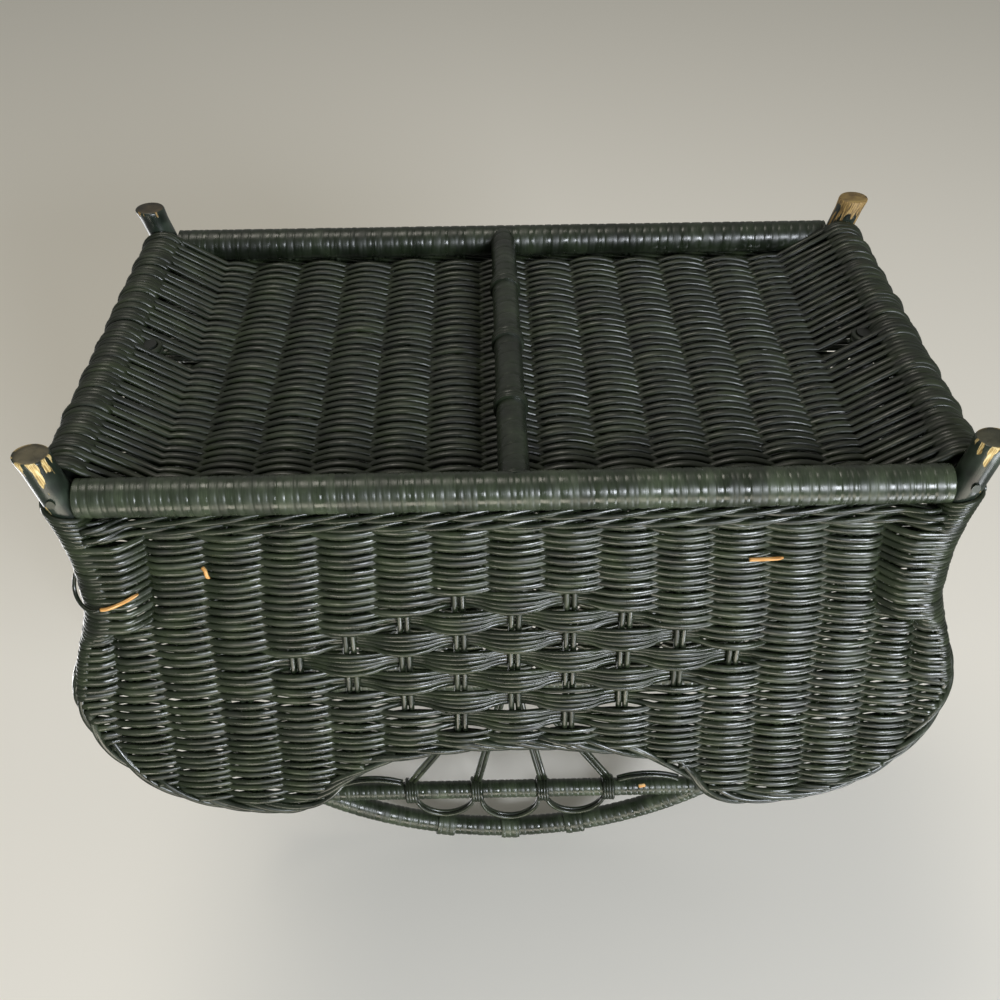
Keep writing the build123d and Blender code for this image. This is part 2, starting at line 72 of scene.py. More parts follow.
# %% Sizes
# Posts and rails: where they cross, and the bend between a post's splayed foot and its head.
POST_X, RAIL_Y, RAIL_Z = 199.5, 125.0, 24.0
POST_RADIUS, POST_TOP, POST_LEAN = 7.75, 99.0, math.radians(17)
BEND_LOW, BEND_RADIUS = 38.0, 100.0
RAIL_SLEEVE_RADIUS = 9.0
# Sides: above FLARE_Z they lean out on an arc. The open diamond has its middle at DIAMOND_Z.
FLARE_Z, FLARE_RADIUS = 84.0, 435.8
STAKE_PITCH, STAKE_RADIUS, WEFT_RADIUS = 26.6, 1.5, 1.25
DIAMOND_Z, BAND_PITCH, BANDS = 125.0, 12.2, 7
RIM_WIDTH, RIM_REED_RADIUS, RIM_TURN = 8.0, 1.55, 76.0
# Base: one layer of stakes, and weft rolled round the end rails.
BASE_Z, BASE_STAKE_RADIUS, BASE_WEFT_RADIUS = 35.05, 1.75, 1.5
BASE_ROWS, BASE_HALF_WIDTH, ROLL_RADIUS = 77, 115.6, 11.5
# Hoop: two legs, shoulders and a flatter crown, with a bar under the crown and one lower down.
LEG_X, LEG_RADIUS = 186.7, 5.5
CROWN_Z, CROWN_RADIUS, SHOULDER_RADIUS = 181.89, 232.11, 120.0
BAR_Z, LOWER_BAR_Z = 374.0, 269.0
HOOP_SLEEVE_RADIUS, BAR_SLEEVE_RADIUS = 6.9, 6.2
KNOT_X = np.array([-67.5, -22.5, 22.5, 67.5])
rng = np.random.default_rng(7)
print("posts", 2 * POST_X, "mm apart, crown", CROWN_Z + CROWN_RADIUS, "mm up")

# %% [markdown]
# ## Reeds as tubes
# A reed is a circle carried along a path. Many reeds are worked out at once: the paths are
# one array of strands by points by xyz, and a ring of points is set round every point of it.
# Each vertex also gets two values for the paint: where it is on the reed, as across, across
# and along, so that fibre lines can follow the reed, and one shade for the whole strand.

# %% Tubes
def unit(v):
    """v / |v|, with a floor for the length so that a zero vector stays zero."""
    return v / np.maximum(np.linalg.norm(v, axis=-1, keepdims=True), 1e-9)


def xyz(x, y, z):
    """Points from their coordinates, each of which is an array or one number."""
    return np.stack(np.broadcast_arrays(x, y, z), -1)


def smooth(t):
    """A step from 0 to 1 as t goes from 0 to 1: 3 t^2 - 2 t^3, with t held to that range."""
    t = np.clip(t, 0, 1)
    return t * t * (3 - 2 * t)


def lengths(path):
    """How far along a path each of its points is."""
    return np.cumsum(np.linalg.norm(np.diff(path, axis=0, prepend=path[:1]), axis=1))


def resampled(path, at):
    """Points of a path that are the given lengths along it."""
    s = lengths(path)
    return np.stack([np.interp(at, s, part) for part in path.T], -1)


def circle(count):
    """Angles evenly round a circle."""
    return np.linspace(0, 2 * np.pi, count, endpoint=False)


def shell(co, grain, tone, closed=False):
    """A shape from rings of points, an array of strands by points by sides by xyz. Quads join
    neighbouring rings, and each open end is closed by one face."""
    ids = np.arange(co[..., 0].size).reshape(co.shape[:3])
    near = ids if closed else ids[:, :-1]
    far = np.roll(ids, -1, 1) if closed else ids[:, 1:]
    quads = np.stack([near, np.roll(near, -1, 2), np.roll(far, -1, 2), far], -1).reshape(-1, 4)
    caps = ids[:0, 0] if closed else np.concatenate([ids[:, 0, ::-1], ids[:, -1]])
    tone = np.broadcast_to(tone, ids.shape).ravel()
    return {"co": co.reshape(-1, 3), "grain": grain.reshape(-1, 3), "tone": tone, "faces": [quads, caps]}


def tubes(paths, radius, sides=6, up=(0, 1, 0), closed=False, wide=1.0):
    """Rings round paths: point + r (cos a * n + w sin a * b), where t is the path's direction,
    n is up made square to t, b = t x n, and w is how much wider than thick the reed lies."""
    paths = np.asarray(paths, float)
    strands, points = paths.shape[:2]
    if closed:
        t = unit(np.roll(paths, -1, 1) - np.roll(paths, 1, 1))
    else:
        t = unit(np.gradient(paths, axis=1))
    up = np.broadcast_to(np.asarray(up, float), paths.shape)
    n = unit(up - (up * t).sum(-1, keepdims=True) * t)
    b = np.cross(t, n)
    r = np.broadcast_to(np.asarray(radius, float), (strands, points))[..., None]
    w = np.broadcast_to(np.asarray(wide, float), (strands, points))[..., None]
    a = circle(sides)
    deep, across = r * np.cos(a), r * w * np.sin(a)
    co = paths[:, :, None] + deep[..., None] * n[:, :, None] + across[..., None] * b[:, :, None]
    step = np.linalg.norm(np.diff(paths, axis=1, prepend=paths[:, :1]), axis=-1)
    along = np.cumsum(step, axis=1) + rng.uniform(0, 900, (strands, 1))
    grain = xyz(deep, across, along[..., None])
    return shell(co, grain, rng.uniform(0, 1, (strands, 1, 1)), closed)


def joined(shapes):
    """Several shapes as one, with the later ones' face numbers moved past the earlier points."""
    start = np.cumsum([0] + [len(s["co"]) for s in shapes[:-1]])
    whole = {key: np.concatenate([s[key] for s in shapes]) for key in ("co", "grain", "tone")}
    return dict(whole, faces=[f + o for s, o in zip(shapes, start) for f in s["faces"]])


TO_BACK, TO_LEFT = (1, -1, 1), (-1, 1, 1)


def mirrored(shape, flip):
    """The mirror image, with its faces turned round so that they stay outwards."""
    return dict(shape, co=shape["co"] * flip, faces=[f[:, ::-1] for f in shape["faces"]])


def placed(name, data):
    """A new object in the scene."""
    item = bpy.data.objects.new(name, data)
    bpy.context.scene.collection.objects.link(item)
    return item


def make_piece(name, shape, material, slot, *nodes):
    """Makes a mesh of a shape, in metres, and hides the CAD nodes it stands for."""
    mesh = bpy.data.meshes.new(name)
    co = shape["co"] * 0.001
    faces = [f for f in shape["faces"] if len(f)]
    sizes = np.concatenate([np.full(len(f), f.shape[1]) for f in faces])
    corners = np.concatenate([f.ravel() for f in faces])
    mesh.vertices.add(len(co))
    mesh.vertices.foreach_set("co", co.ravel())
    mesh.loops.add(len(corners))
    mesh.loops.foreach_set("vertex_index", corners.astype(np.int32))
    mesh.polygons.add(len(sizes))
    mesh.polygons.foreach_set("loop_start", (np.cumsum(sizes) - sizes).astype(np.int32))
    mesh.polygons.foreach_set("use_smooth", sizes == 4)
    mesh.update(calc_edges=True)
    grain = mesh.attributes.new("grain", "FLOAT_VECTOR", "POINT")
    grain.data.foreach_set("vector", shape["grain"].ravel() * 0.001)
    mesh.attributes.new("tone", "FLOAT", "POINT").data.foreach_set("value", shape["tone"])
    mesh.materials.append(material)
    piece = placed(name, mesh)
    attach(piece, "root")
    if nodes:
        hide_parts(*nodes)
    triangles = int((sizes - 2).sum())
    print(f"{name}: {triangles} triangles, low {co.min(0).round(4)}, high {co.max(0).round(4)}")


def make_both(name, build, material, slot, *nodes):
    """The front piece, and the back one as the mirror image of a second build of its own."""
    make_piece("front_" + name, build(), material, slot, *("front_" + n for n in nodes))
    make_piece("back_" + name, mirrored(build(), TO_BACK), material, slot, *("back_" + n for n in nodes))


# %% [markdown]
# ## Finishes
# The whole basket was brushed with a dark bottle-green oil enamel over cane and reed. On
# reed the enamel is thin: it follows the fibres, pools a little, and has gone uneven in
# gloss with age. So each finish mixes two or three greens by a noise in millimetres, draws
# fibre lines along the strand, and varies the roughness. Worn feet show the bare cane.

# %% Material helpers
def linear(hex_colour):
    """sRGB hex to linear: c / 12.92 below 0.04045, and ((c + 0.055) / 1.055) ** 2.4 above."""
    parts = [int(hex_colour[i:i + 2], 16) / 255 for i in (1, 3, 5)]
    return tuple(c / 12.92 if c <= 0.04045 else ((c + 0.055) / 1.055) ** 2.4 for c in parts) + (1.0,)


def link(tree, node, links):
    """Links sockets to a node's inputs, given by name or number."""
    for key, socket in dict(links).items():
        tree.links.new(socket, node.inputs[key])


def add(tree, kind, out=0, settings=(), links=()):
    """Adds a node and gives one of its outputs. Its settings are attributes by name, inputs by
    name or number, and a ramp's colours, which are set at even steps."""
    node = tree.nodes.new("ShaderNode" + kind)
    for key, value in dict(settings).items():
        if key == "colours":
            elements = node.color_ramp.elements
            elements[0].color, elements[1].color = linear(value[0]), linear(value[-1])
            for step, colour in enumerate(value[1:-1], 1):
                elements.new(step / (len(value) - 1)).color = linear(colour)
        elif isinstance(key, str) and hasattr(node, key):
            setattr(node, key, value)
        else:
            node.inputs[key].default_value = value
    link(tree, node, links)
    return node.outputs[out]


PLACE = ("TexCoord", "Object")
GRAIN = ("Attribute", "Vector", {"attribute_name": "grain"})


def new_material(name, *patterns):
    """A material, its tree, its shader and noise patterns. Each pattern says what it follows, how
    many mm its blotches are across, their scale along the strand, and how fine its detail is."""
    material = bpy.data.materials.new(name)
    material.use_nodes = True
    tree, noises = material.node_tree, []
    for source, size_mm, along, detail in patterns:
        scale = tuple(s * 1000 / size_mm for s in (1, 1, along))
        mapped = add(tree, "Mapping", 0, {"Scale": scale}, {"Vector": add(tree, *source)})
        noises.append(add(tree, "TexNoise", "Fac", {"Scale": 1.0, "Detail": detail}, {"Vector": mapped}))
    return material, tree, tree.nodes["Principled BSDF"], noises


# %% Painted reed
def painted_reed(name, dark, mid, light, fibre_mm=0.5, rough=(0.16, 0.42)):
    """Round reed under oil enamel: the paint's green varies by strand and in 14 mm blotches,
    fibre ridges under it are half a millimetre wide, and the gloss is broken every few mm.
    Shade = 0.22 strand + blotch + 0.5 fibre."""
    patterns = (PLACE, 14, 1, 3.0), (GRAIN, fibre_mm, 0.05, 4.0), (GRAIN, 5, 0.5, 3.0)
    material, tree, shader, (blotch, fibre, dull) = new_material(name, *patterns)
    strand = add(tree, "Attribute", "Fac", {"attribute_name": "tone"})
    shade = add(tree, "Math", 0, {"operation": "MULTIPLY_ADD", 1: 0.22}, {0: strand, 2: blotch})
    shade = add(tree, "Math", 0, {"operation": "MULTIPLY_ADD", 1: 0.5}, {0: fibre, 2: shade})
    shade = add(tree, "MapRange", 0, {1: 0.55, 2: 1.2}, {0: shade})
    ridges = add(tree, "Math", 0, {"operation": "MULTIPLY_ADD", 1: 0.4}, {0: fibre, 2: dull})
    link(tree, shader, {
        "Base Color": add(tree, "ValToRGB", 0, {"colours": (dark, mid, light)}, {0: shade}),
        "Roughness": add(tree, "MapRange", 0, {1: 0.34, 2: 0.62, 3: rough[0], 4: rough[1]}, {0: dull}),
        "Normal": add(tree, "Bump", 0, {"Strength": 0.5, "Distance": 0.0004}, {"Height": ridges}),
    })
    return material


# Thin glossy enamel on reed, and lighter on the smooth cane. On the base the enamel is duller, and its greens
# are darker as painted shade.
weft_paint = painted_reed("reed_weft_green_enamel", "#0f140b", "#1d2416", "#2f3724")
stake_paint = painted_reed("reed_stake_green_enamel", "#10150c", "#20271a", "#333a29")
rim_paint = painted_reed("rolled_rim_green_enamel", "#0f140c", "#1f261a", "#343c2e", 0.6, (0.14, 0.38))
# Base weft: rougher enamel, and darker greens than the sides' weft, which are painted shade.
base_paint_painted_shade = painted_reed("base_weft_matt_green_enamel_painted_shade", "#0b1007", "#171e0f", "#272f1b", 0.5, (0.3, 0.55))
cane_paint = painted_reed("wound_cane_green_enamel", "#151b11", "#272f21", "#3e4735", 0.4, (0.17, 0.46))
# A darker copy of the cane enamel, for the back rail and the cross rail: painted shade.
cane_paint_painted_shade = painted_reed("wound_cane_green_enamel_painted_shade", "#0d120a", "#192014", "#2a3223", 0.4,
                               (0.2, 0.48))
# Hidden cores get a near-black enamel, so that where they show through the weave they are painted shade.
core_paint_painted_shade = painted_reed("hidden_core_enamel_painted_shade", "#0c0f0b", "#141813", "#1d221b", 0.5, (0.4, 0.6))
print(len(bpy.data.materials), "painted finishes made")

# %% Posts with worn feet
def painted_post(name, end, wood, chips, reach):
    """Bent cane under the same enamel. The sawn end is brown with dirt, and up to reach metres
    above the floor the paint is knocked off in long flakes that show yellow wood. chips is the
    share that is bare: bare where noise < chips, less with height."""
    patterns = (PLACE, 12, 1, 3.0), (GRAIN, 0.6, 0.05, 4.0), (GRAIN, 4.2, 0.28, 2.5)
    material, tree, shader, (blotch, fibre, flake) = new_material(name, *patterns)
    stain = add(tree, "MapRange", 0, {1: 0.3, 2: 0.7}, {0: blotch})
    paint = add(tree, "ValToRGB", 0, {"colours": ("#0f140f", "#1f271f", "#343d33")}, {0: stain})
    streak = add(tree, "MapRange", 0, {1: 0.35, 2: 0.65}, {0: fibre})
    wood = add(tree, "ValToRGB", 0, {"colours": wood}, {0: streak})
    dirt = add(tree, "MapRange", 0, {1: 0.35, 2: 0.65}, {0: blotch})
    dirt = add(tree, "ValToRGB", 0, {"colours": end}, {0: dirt})
    height = add(tree, "SeparateXYZ", "Z", links={0: add(tree, *PLACE)})
    low = add(tree, "MapRange", 0, {1: 0.002, 2: reach, 3: chips, 4: chips - 0.16}, {0: height})
    bare = add(tree, "Math", 0, {"operation": "SUBTRACT"}, {0: low, 1: flake})
    bare = add(tree, "MapRange", 0, {1: 0.0, 2: 0.025}, {0: bare})
    down = add(tree, "SeparateXYZ", "Z", links={0: add(tree, "NewGeometry", "Normal")})
    sawn = add(tree, "MapRange", 0, {1: -0.86, 2: -0.95}, {0: down})
    colour = add(tree, "Mix", "Result", {"data_type": "RGBA"}, {"Factor": bare, "A": paint, "B": wood})
    colour = add(tree, "Mix", "Result", {"data_type": "RGBA"}, {"Factor": sawn, "A": colour, "B": dirt})
    worn = add(tree, "Math", 0, {"operation": "MAXIMUM"}, {0: bare, 1: sawn})
    step = add(tree, "Math", 0, {"operation": "MULTIPLY_ADD", 1: 0.25}, {0: fibre, 2: bare})
    link(tree, shader, {
        "Base Color": colour,
        "Roughness": add(tree, "MapRange", 0, {3: 0.3, 4: 0.62}, {0: worn}),
        "Normal": add(tree, "Bump", 0, {"Strength": 0.5, "Distance": 0.0003, "invert": True},
                      {"Height": step}),
    })
    return material


YELLOW = ("#7d6534", "#b79d62", "#dccb97")
BROWN = ("#4f3d20", "#7d6437", "#a98c55")
post_paints = {
    "front_post_right": painted_post("post_cane_flaked", ("#2e2b1e", "#57503b"), YELLOW, 0.50, 0.020),
    "front_post_left": painted_post("post_cane_rubbed_rim", ("#26281d", "#4a4836"), YELLOW, 0.48, 0.012),
    "back_post_right": painted_post("post_cane_dark", ("#1d1c14", "#4a3f2b"), BROWN, 0.40, 0.012),
    "back_post_left": painted_post("post_cane_worn_brown", ("#5a4726", "#a08850"), BROWN, 0.60, 0.026),
}

# %% [markdown]
# ## Shape of a side
# A side stands upright on its rail and leans out above the posts' heads, so it is a surface on
# which two numbers, x and z, give a point. Everything of a side is first laid out in x and z,
# and then put on that surface, some way in front of it or behind it.

# %% Side surface
def lean(z):
    """How far a side leans out at height z: R - sqrt(R^2 - h^2), with h the height over the bend."""
    h = np.maximum(0.0, z - FLARE_Z)
    return FLARE_RADIUS - np.sqrt(FLARE_RADIUS**2 - h**2)


def outward(z):
    """Unit vector out of the front side at height z, which turns down as the side leans out."""
    s = np.maximum(0.0, z - FLARE_Z) / FLARE_RADIUS
    return xyz(0.0, -np.sqrt(1 - s**2), -s)


def on_side(x, z, proud):
    """A point of the front side at x and z, moved proud mm along the outward direction."""
    return xyz(x, -(RAIL_Y + lean(z)), z) + np.asarray(proud)[..., None] * outward(z)


def post_line(z):
    """X of the right post's centre: leaning below the bend, an arc, then upright."""
    slope = math.tan(POST_LEAN)
    bend_x = POST_X + (RAIL_Z - BEND_LOW) * slope
    head_x = bend_x - BEND_RADIUS * (1 - math.cos(POST_LEAN))
    head_z = BEND_LOW + BEND_RADIUS * math.sin(POST_LEAN)
    h = np.clip(head_z - z, 0, head_z - BEND_LOW)
    arc = head_x + BEND_RADIUS - np.sqrt(BEND_RADIUS**2 - h**2)
    return np.where(z < BEND_LOW, POST_X + (RAIL_Z - z) * slope, arc)


# %% Outline of a side
def tangent_arcs(points, samples=24):
    """Arcs that each start along the heading of the one before and pass through the next point.
    For a start p, heading t and end q, the radius is |q-p|^2 / (2 (q-p).n), n being t turned left."""
    t, line = np.array([1.0, 0.0]), [np.array([points[0]])]
    for p, q in zip(np.array(points[:-1]), np.array(points[1:])):
        n, d = np.array([-t[1], t[0]]), q - p
        bend = 2 * (d @ n) / (d @ d)
        turn = 2 * math.atan2(d @ n, d @ t)
        s = np.linspace(0, 1, samples)[1:, None] * turn
        line.append(p + (np.sin(s) * t + (1 - np.cos(s)) * n) / bend)
        t = math.cos(turn) * t + math.sin(turn) * n
    return np.concatenate(line)


# Right half of the top edge, as x and z: the dip in the middle, the crest, the ear, the post.
OUTLINE = [(0, 179.7), (60, 185.5), (90, 202), (118, 214.5), (168, 206.5), (203, 181.5),
           (217.5, 146), (207.5, 110), (199.5, 96)]
edge = tangent_arcs(OUTLINE)
heading = unit(np.gradient(edge, axis=0))
rim_line = edge + np.stack([heading[:, 1], -heading[:, 0]], -1) * RIM_WIDTH / 2
crest = int(rim_line[:, 1].argmax())
print("rim from", rim_line[0].round(1), "over", rim_line[crest].round(1), "to", rim_line[-1].round(1))


def rim_outside(z):
    """X of the rim's middle on the ear side at height z."""
    return np.interp(z, rim_line[crest:, 1][::-1], rim_line[crest:, 0][::-1])


def rim_inside(z):
    """X of the rim's middle on the dip side at height z."""
    return np.interp(z, rim_line[:crest, 1], rim_line[:crest, 0])


# %% [markdown]
# ## Woven sides
# Each row of weft goes in front of one pair of stakes and behind the next, and the row above
# does the opposite. At the posts the weft turns round and comes back. In the middle a diamond
# is left open: there, five rows move together as a band, so that every second pair of stakes
# and the gaps beside it show. A table of +1 (in front) and -1 (behind) for each row and each
# stake holds the whole pattern, and a smooth step between neighbouring stakes bends the reed.

# %% Weave table of a side
LOW_START, LOW_PITCH, LOW_ROWS = 44.46, 2.14, 18
BAND_REED_PITCH, BAND_REEDS = 2.44, 5
HIGH_STEP, HIGH_PITCH, HIGH_ROWS = 2.0, 1.88, 21
OUTER = 9  # the table's columns are stakes -9 to 9, of which the outer ones only extend it
band_place = np.arange(BAND_REEDS) - 2
band_mid = DIAMOND_Z + BAND_PITCH * (np.arange(BANDS) - 3)
low_rows = LOW_START + LOW_PITCH * np.arange(LOW_ROWS)
band_rows = (band_mid[:, None] + BAND_REED_PITCH * band_place).ravel()
high_rows = band_rows[-1] + HIGH_STEP + HIGH_PITCH * np.arange(HIGH_ROWS)
row_z = np.concatenate([low_rows, band_rows, high_rows])
row_band = np.pad(np.repeat(np.arange(BANDS), BAND_REEDS), (LOW_ROWS, HIGH_ROWS), constant_values=-1)
row_place = np.pad(np.tile(band_place, BANDS), (LOW_ROWS, HIGH_ROWS))
row_pitch = np.repeat((LOW_PITCH, BAND_REED_PITCH, HIGH_PITCH), (LOW_ROWS, len(band_rows), HIGH_ROWS))
row_reach = 4 - np.abs(row_band - 3)
stake_ids = np.arange(-OUTER, OUTER + 1)
sign = (-1.0) ** (np.arange(len(row_z))[:, None] + stake_ids)
reach = np.where(row_band < 0, -1, row_reach)[:, None]
in_diamond = np.abs(stake_ids) <= reach
sign = np.where(in_diamond, np.where((stake_ids - reach) % 2 == 0, -1.0, 1.0), sign)
print(len(row_z), "rows from", row_z[0], "to", row_z[-1].round(1))


def stake_pitch(z):
    """Spacing of the stakes: they fan out a little from the rail up to 70 mm above it."""
    return STAKE_PITCH - 1.3 * np.clip((95 - z) / 60, 0, 1)


def bow(t):
    """From +1 to -1 between two stakes, as (1 - 2 smooth(t)) with its size raised to 0.8: the
    reed bows over each stake and crosses its neighbours steeply half-way."""
    c = 1 - 2 * smooth(t)
    return np.sign(c) * np.abs(c) ** 0.8


def strand_side(table, u):
    """Which side of the stakes each row is on at u, counted in stakes from the middle one: it
    passes from the table's sign at one stake to that at the next as m + d bow(t), with m their
    mean and d half their difference."""
    zero, last = table.shape[1] // 2, table.shape[1] - 1
    cell = np.broadcast_to(np.floor(u).astype(int), (len(table), u.shape[1]))
    one = np.take_along_axis(table, np.clip(zero + cell, 0, last), 1)
    two = np.take_along_axis(table, np.clip(zero + cell + 1, 0, last), 1)
    return (one + two) / 2 + (one - two) / 2 * bow(u - cell)


def wobble(x, strands, size):
    """A slow unevenness of hand-laid rows: two sines along x with a random phase for each row."""
    phase = rng.uniform(0, 6.28, (strands, 2, 1))
    return size * (np.sin(x / 31 + phase[:, 0]) + 0.6 * np.sin(x / 13 + phase[:, 1]))


# %% What the rows turn round
EAR_Z = (84, 96, 106, 121, 140, 146)  # outermost x of the turned rows at some heights of the ear
EAR_X = (200.9, 204.0, 207.2, 212.2, 216.3, 217.2)
EAR_TURN_Z, EAR_CORE_RADIUS = 140.0, 3.6


def edge_core(z):
    """Centre and radius of a side's edge: the post below its top, and above it a bundle of
    stakes 7.2 mm thick inside the ear's swelling edge, with 14 mm for the change."""
    share = smooth((z - 95) / 14)
    radius = (POST_RADIUS + WEFT_RADIUS) * (1 - share) + EAR_CORE_RADIUS * share
    swell = np.interp(z, EAR_Z, EAR_X) - WEFT_RADIUS - radius
    return np.where(z < EAR_Z[0], post_line(z), swell), radius


# %% Rows of a side
TURN_POINTS = 14


def side_rows(rows, x_from, x_to, points, last=None):
    """Paths and half widths of rows between x_from and x_to. Over the stakes, proud = A s, where
    s runs smoothly between the table's signs. A reed lies flat over a stake and narrows a little
    where it crosses its neighbours: half width = h (0.9 + 0.1 s^2). Where last is given, the row
    goes past that stake to the side's edge, is over the edge two thirds of the way there, and
    half a turn round the edge is added at each end."""
    z = row_z[rows][:, None]
    x = x_from[:, None] + (x_to - x_from)[:, None] * np.linspace(0, 1, points)
    u = x / stake_pitch(z)
    amplitude = STAKE_RADIUS + WEFT_RADIUS + rng.normal(0, 0.12, (len(rows), 1))
    if last:
        core, turn_radius = edge_core(z)
        last_x = last * stake_pitch(z)
        beyond = np.clip(1.45 * (np.abs(x) - last_x) / (core - last_x), 0, 1)
        u = np.where(np.abs(u) > last, np.sign(u) * (last + beyond), u)
        amplitude = amplitude + (turn_radius - amplitude) * smooth(np.abs(u) - last)
    s = strand_side(sign[rows], u)
    near_middle = smooth(row_reach[rows][:, None] + 0.9 - np.abs(u))
    inside = np.where(row_band[rows][:, None] < 0, 0, near_middle)
    spread = row_place[rows][:, None] * inside * (0.50 * s - 0.16)
    packed, loose = 0.90 * row_pitch[rows][:, None], 1.42
    half = (packed + (loose - packed) * inside) * (0.9 + 0.1 * s**2)
    z = z + spread + wobble(x, len(rows), 0.30) + rng.normal(0, 0.16, (len(rows), 1))
    main = on_side(x, z, amplitude * s)
    if not last:
        return main, half
    turn = np.linspace(0.1, 1.15, TURN_POINTS) * np.pi

    def round_edge(end, z):
        """The half turn at one end: out by r sin a and proud by r cos a, with a from 0.1 pi on."""
        start = sign[rows][:, [OUTER + (last + 1) * end]]
        return on_side(end * (core + turn_radius * np.sin(turn)), z, start * turn_radius * np.cos(turn))

    paths = np.concatenate([round_edge(-1, z[:, :1])[:, ::-1], main, round_edge(1, z[:, -1:])], 1)
    turn_half = np.broadcast_to(0.68 * row_pitch[rows][:, None], (len(rows), TURN_POINTS))
    return paths, np.concatenate([turn_half, half, turn_half], 1)


def woven_side():
    """All rows of a side: turned round the posts below and round the ear's edge above them, then
    from rim to rim, and in two lengths where the dip parts them."""
    every = np.arange(len(row_z))
    wrapped = every[row_z < POST_TOP - 1]
    eared = every[(row_z >= POST_TOP - 1) & (row_z < EAR_TURN_Z)]
    full = every[(row_z >= EAR_TURN_Z) & (row_z < rim_line[0, 1])]
    parted = every[(row_z >= rim_line[0, 1]) & (row_z < rim_line[crest, 1] - 1)]
    post, ear = edge_core(row_z[wrapped])[0], edge_core(row_z[eared])[0]
    out = rim_outside(row_z[full])
    out_high, inside = rim_outside(row_z[parted]), rim_inside(row_z[parted])
    groups = [
        side_rows(wrapped, -post, post, 120, 6),
        side_rows(eared, -ear, ear, 124, 7),
        side_rows(full, -out, out, 128),
        side_rows(parted, inside, out_high, 48),
        side_rows(parted, -out_high, -inside, 48),
    ]
    shapes = []
    for paths, half in groups:
        size = np.clip(rng.normal(1, 0.05, (len(paths), 1)), 0.9, 1.1)
        shapes.append(tubes(paths, WEFT_RADIUS * size, 8, outward(paths[..., 2]), wide=half / WEFT_RADIUS))
    return joined(shapes)


def twined_start():
    """Two ropes of four reeds along the rail, the first thing woven on a side. Reed k goes up and
    down as sin(p) and in and out as cos(p), with p a quarter of a turn on from reed to reed, and
    one turn takes three stakes. The ropes come out to the posts, where their ends are turned
    round, ring over ring, each ring square to the leaning post."""
    reed = 1.35
    z = np.repeat(np.arange(29.5, 44.0, 2.2), 2)[:, None]
    hand = np.tile([[-1.0], [1.0]], (len(z) // 2, 1))
    a = circle(28) * hand
    r = POST_RADIUS + reed
    rings = xyz(hand * (post_line(z) + r * np.cos(a)), -RAIL_Y + r * np.sin(a),
                z - math.sin(POST_LEAN) * r * np.cos(a) * 0.9)
    shapes = [tubes(rings, reed, 8, (0, 0, 1), closed=True)]
    x = np.linspace(-190.5, 190.5, 170)
    out = 6.0 * smooth((np.abs(x) - 170) / 16)
    for rope_z in (36.6, 41.6):
        p = 2 * np.pi * (x / 80 + np.arange(4)[:, None] / 4) + rope_z
        z = rope_z + reed * np.sin(p)
        paths = on_side(x, z, out + 3.3 * np.cos(p))
        shapes.append(tubes(paths, 1.3, 8, outward(paths[..., 2]), wide=1.15))
    return joined(shapes)


make_both("woven_side", woven_side, weft_paint, "painted_weft", "weave", "open_bands")
make_both("twined_start", twined_start, weft_paint, "painted_weft", "weave")

# %% Side stakes
def side_stakes():
    """Pairs of reeds up each stake line, from in the rail to under the rim. The outermost pair
    starts on the post's head."""
    places = np.arange(-7, 8)
    from_middle = np.abs(places) * STAKE_PITCH
    low = np.where(np.abs(places) > 6, POST_TOP + 1, 26.0)
    dip_side = np.interp(from_middle, rim_line[:crest, 0], rim_line[:crest, 1])
    ear_side = np.interp(from_middle, rim_line[crest:, 0], rim_line[crest:, 1])
    high = np.where(from_middle > rim_line[crest, 0], ear_side, dip_side)
    z = low[:, None] + (high - low)[:, None] * np.linspace(0, 1, 40)
    shapes = []
    for shift in (-1, 1):
        sway = rng.normal(0, 0.25, (len(places), 1)) * np.sin(z / 17 + places[:, None])
        apart = STAKE_RADIUS + 0.15 + rng.uniform(0, 0.25, (len(places), 1))
        x = places[:, None] * stake_pitch(z) + shift * apart + sway
        shapes.append(tubes(on_side(x, z, 0.0), STAKE_RADIUS, 10, (1, 0, 0)))
    return joined(shapes)


make_both("stake_pairs", side_stakes, stake_paint, "painted_stake", "stakes")

# %% [markdown]
# ## Rolled rims
# The border is made from the stakes' own ends: each is bent over and runs along the edge past
# several others before it is tucked in, so six reeds lie side by side and turn slowly round
# one another, one turn in about 75 mm. Reed k goes sideways as sin(p) and in and out as cos(p),
# with p a sixth of a turn on from reed to reed.

# %% Rims
def rolled_rim():
    """Six reeds round the rim's line. Below the ear's tip the roll thins and slips behind the
    turned rows, which make the edge there. In the dip it spreads a little wider."""
    half = np.concatenate([rim_line[::-1] * (-1, 1), rim_line[1:]])
    even = np.linspace(0, lengths(half)[-1], 620)
    line = resampled(half, even)
    t = unit(np.gradient(line, axis=0))
    aside = np.stack([t[:, 1], -t[:, 0]], -1)
    near_middle = np.abs(line[:, 0]) < rim_line[crest, 0]
    full = np.where(near_middle, 1.0, smooth((line[:, 1] - 116) / 30))
    phase = rng.normal(0, 0.16, (6, 1))
    p = 2 * np.pi * (even / RIM_TURN + np.arange(6)[:, None] / 6 + phase * np.sin(even / 47))
    spread = 2.9 - 0.6 * smooth((np.abs(line[:, 0]) - 100) / 40)
    sway = (0.4 + 0.6 * full) * spread * np.sin(p)
    flat = line + aside * sway[..., None]
    depth = (0.5 + 0.5 * full) * 2.3 * np.cos(p) - 1.6 * (1 - full)
    paths = on_side(flat[..., 0], flat[..., 1], depth)
    return tubes(paths, RIM_REED_RADIUS, 8, outward(paths[..., 2]), wide=1.1)


make_both("rolled_rim", rolled_rim, rim_paint, "painted_weft", "rim")

# %% [markdown]
# ## Woven base
# Single stakes run from front to back, and the weft crosses them from end to end. At each end
# it turns round the end rail, which lies lower than the base: one row goes over the rail and
# comes back under it as the next row. Seen from below, every second reed comes down off the
# rail slantwise, and the turns lie in a bumpy roll, because some were pushed over others.

